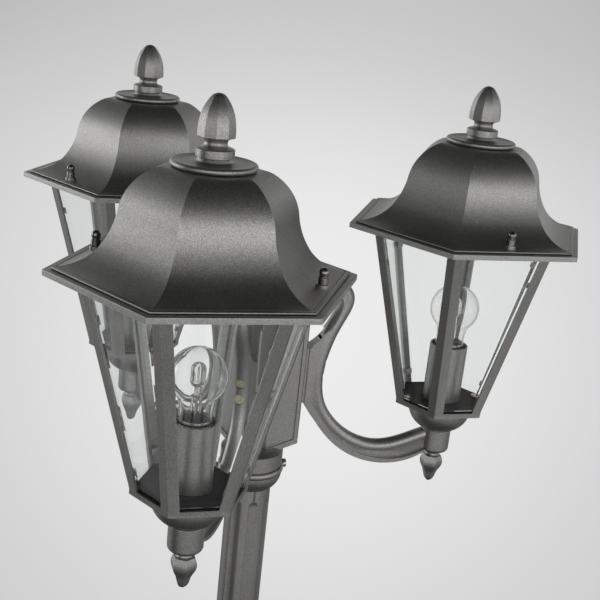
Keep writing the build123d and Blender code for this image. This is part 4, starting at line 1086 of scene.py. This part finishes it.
@dataclass
class Studio:
    """Camera, softboxes, pale surroundings and floor."""

    camera_place: Point = (0.2227, -0.8873, 2.293)
    yaw: float = 0.2343
    pitch: float = 0.3306
    roll: float = 0.0999
    lens: float = 64.19
    sensor: float = 36.0
    shift: tuple[float, float] = (0.04, 0.04)
    nearest: float = 0.02
    softboxes: tuple[Softbox, ...] = (
        Softbox("softbox_left", (-2.4, -0.1, 2.1), 1.2, 1.3),
        Softbox("softbox_right", (1.8, -1.8, 2.2), 1.0, 0.7))
    aim: Point = (0.0, 0.0, 2.0)
    # What the camera sees: levels by the nearness of a ray to an axis, darker above the horizon.
    seen_axis: Direction = Direction(102.0, -19.3)
    seen_range: Range = (0.9, 1.0)
    seen_levels: Stops = ((0.0, 0.5), (0.14, 0.56), (0.37, 0.63), (0.53, 0.665), (0.71, 0.72),
                          (0.9, 0.8), (1.0, 0.85))
    seen_dark_range: Range = (-0.22, -0.03)
    seen_dark: float = 0.14
    # What lights the part: levels by height, with a flag on the left and a dim side behind.
    lit_levels: Stops = ((0.0, 0.22), (0.2, 0.28), (0.34, 0.42), (0.43, 0.8), (0.5, 1.15),
                         (0.6, 1.15), (0.7, 0.5), (0.82, 0.06), (1.0, 0.015))
    flag_axis: Direction = Direction(-143.0, 0.0)
    flag_range: Range = (0.86, 0.96)
    flag_share: float = 0.93
    back_axis: Direction = Direction(70.0, -10.0)
    back_range: Range = (0.2, 0.75)
    back_share: float = 0.5
    flag_level: float = 0.02
    floor_radius: float = 2.1
    floor_drop: float = 0.5 * MM
    floor_sides: int = 96
    rim_shares: Range = (0.5, 0.97)
    paper_levels: Range = (0.75, 0.7)
    paper_grain: float = 4 * MM
    paper_share: float = 0.2
    floor_seen: float = 0.42
    floor_glow: float = 0.36
    floor_mirrored: float = 0.2
    bounces: int = 20
    clear_bounces: int = 24

    def camera(self) -> None:
        """Camera at the photograph's viewing angle."""
        yaw, pitch, roll = self.yaw, self.pitch, self.roll
        forward = Vector((-math.sin(yaw) * math.cos(pitch), math.cos(yaw) * math.cos(pitch),
                          -math.sin(pitch)))
        level = Vector((math.cos(yaw), math.sin(yaw), 0.0))
        upright = level.cross(forward)
        right = math.cos(roll) * level + math.sin(roll) * upright
        up = right.cross(forward)
        data = bpy.data.cameras.new("camera")
        data.lens = self.lens
        data.sensor_width = self.sensor
        data.shift_x, data.shift_y = self.shift
        data.clip_start = self.nearest
        camera = bpy.data.objects.new("camera", data)
        turn = Matrix((right, up, -forward)).transposed().to_4x4()
        camera.matrix_world = Matrix.Translation(self.camera_place) @ turn
        bpy.context.scene.collection.objects.link(camera)
        bpy.context.scene.camera = camera

    def light(self, box: Softbox) -> None:
        """Makes an area lamp that the camera doesn't see.

        Args:
            box: What the lamp is like.
        """
        data = bpy.data.lights.new(box.name, "AREA")
        data.shape = "RECTANGLE"
        data.size = data.size_y = box.size
        data.energy = box.radiance * math.pi * box.size * box.size
        lamp = bpy.data.objects.new(box.name, data)
        lamp.location = box.place
        facing = Vector(self.aim) - Vector(box.place)
        lamp.rotation_euler = facing.to_track_quat("-Z", "Y").to_euler()
        lamp.visible_camera = False
        bpy.context.scene.collection.objects.link(lamp)

    def _seen_by_camera(self, graph: Graph, ray: Value, height: Value) -> Value:
        """Makes the pale backdrop.

        Args:
            graph: The world's graph.
            ray: The ray's direction.
            height: Its Z.

        Returns:
            The backdrop's colour.
        """
        nearness = graph.span(self.seen_axis.along(graph, ray), *self.seen_range)
        level = graph.graded(nearness, self.seen_levels)
        darkened = graph.between(height, *self.seen_dark_range) * self.seen_dark
        return graph.mix(darkened, level, grey(0.0))

    def _seen_by_part(self, graph: Graph, ray: Value, height: Value) -> Value:
        """Makes the room that lights the part and is mirrored in it.

        Args:
            graph: The world's graph.
            ray: The ray's direction.
            height: Its Z.

        Returns:
            The room's colour.
        """
        level = graph.graded(graph.span(height, -1.0, 1.0), self.lit_levels)
        flat = graph.vector("NORMALIZE", {0: graph.squeezed(ray, (1.0, 1.0, 0.0))})
        flagged = graph.between(self.flag_axis.along(graph, flat), *self.flag_range)
        behind = graph.between(self.back_axis.along(graph, ray), *self.back_range)
        darkened = (flagged * self.flag_share).larger(behind * self.back_share)
        return graph.mix(darkened, level, grey(self.flag_level))

    def surroundings(self) -> None:
        """World: a pale backdrop for the camera and through glass, a lit room for the part."""
        world = bpy.data.worlds.new("surroundings")
        bpy.context.scene.world = world
        world.use_nodes = True
        graph = Graph(world.node_tree)
        ray = graph.value("ShaderNodeTexCoord", output="Generated")
        height = graph.value("ShaderNodeSeparateXYZ", {}, {0: ray}, "Z")
        backdrop = self._seen_by_camera(graph, ray, height)
        room = self._seen_by_part(graph, ray, height)
        path = graph.add("ShaderNodeLightPath")
        camera, through = (Value(graph, path.outputs[name])
                           for name in ("Is Camera Ray", "Is Transmission Ray"))
        colour = graph.mix(camera.larger(through), room, backdrop)
        background = graph.shader("ShaderNodeBackground", {"Color": colour})
        graph.add("ShaderNodeOutputWorld", {}, {"Surface": background})

    def floor(self) -> None:
        """Round pale floor that fades into the surroundings at its rim and keeps the shadow."""
        material, graph = material_graph("floor_paper")
        place = graph.object_place()
        speckle = graph.noise(place, self.paper_grain, 3.0)
        pale, speck = (grey(level) for level in self.paper_levels)
        paper = graph.shader("ShaderNodeBsdfDiffuse", {
            "Color": graph.mix(speckle * self.paper_share, pale, speck)})
        dim = graph.shader("ShaderNodeBsdfDiffuse", {"Color": grey(self.floor_seen)})
        dark = graph.shader("ShaderNodeBsdfDiffuse", {"Color": grey(self.floor_mirrored)})
        glow = graph.shader("ShaderNodeEmission", {"Color": grey(self.floor_glow)})
        bright = graph.shader("ShaderNodeAddShader", {0: dim, 1: glow})
        path = graph.add("ShaderNodeLightPath")
        camera, glossy, through = (
            Value(graph, path.outputs[name])
            for name in ("Is Camera Ray", "Is Glossy Ray", "Is Transmission Ray"))
        unseen = graph.blend(glossy, paper, dark)
        lit = graph.blend(camera.larger(through), unseen, bright)
        reach = graph.vector("LENGTH", {0: place}, "Value")
        rim = graph.between(reach, *(self.floor_radius * share for share in self.rim_shares))
        surface = graph.blend(rim, lit, graph.shader("ShaderNodeBsdfTransparent"))
        graph.add("ShaderNodeOutputMaterial", {}, {"Surface": surface})
        bm = bmesh.new()
        bmesh.ops.create_circle(bm, cap_ends=True, segments=self.floor_sides,
                                radius=self.floor_radius)
        bmesh.ops.translate(bm, vec=(0, 0, -self.floor_drop), verts=bm.verts)
        as_object("floor", bm, material)

    def build(self) -> None:
        """Sets up the whole studio."""
        self.camera()
        for box in self.softboxes:
            self.light(box)
        self.surroundings()
        self.floor()
        scene = bpy.context.scene
        scene.view_settings.view_transform = "Standard"
        scene.cycles.max_bounces = self.bounces
        scene.cycles.transmission_bounces = self.bounces
        scene.cycles.transparent_max_bounces = self.clear_bounces


def main() -> None:
    """Builds the sub-assemblies in order and reports each piece."""
    logging.basicConfig(level=logging.INFO, format="%(name)s: %(message)s")
    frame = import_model()
    bodies = frame["record"]["behaviour"]["bodies"]
    body_of_node = {node: body for body, members in bodies.items() for node in members}
    shop = Workshop(frame["nodes"], body_of_node)
    assemblies: list[Assembly] = [Post(shop), Fasteners(shop)]
    for side in Side:
        assemblies += [Arm(shop, side), Cage(shop, side), Bulb(shop, side), Roof(shop, side)]
    for assembly in assemblies:
        for piece in assembly.build():
            log.info("%s: %s", type(assembly).__name__, piece)
    Studio().build()


if __name__ == "__main__":
    main()
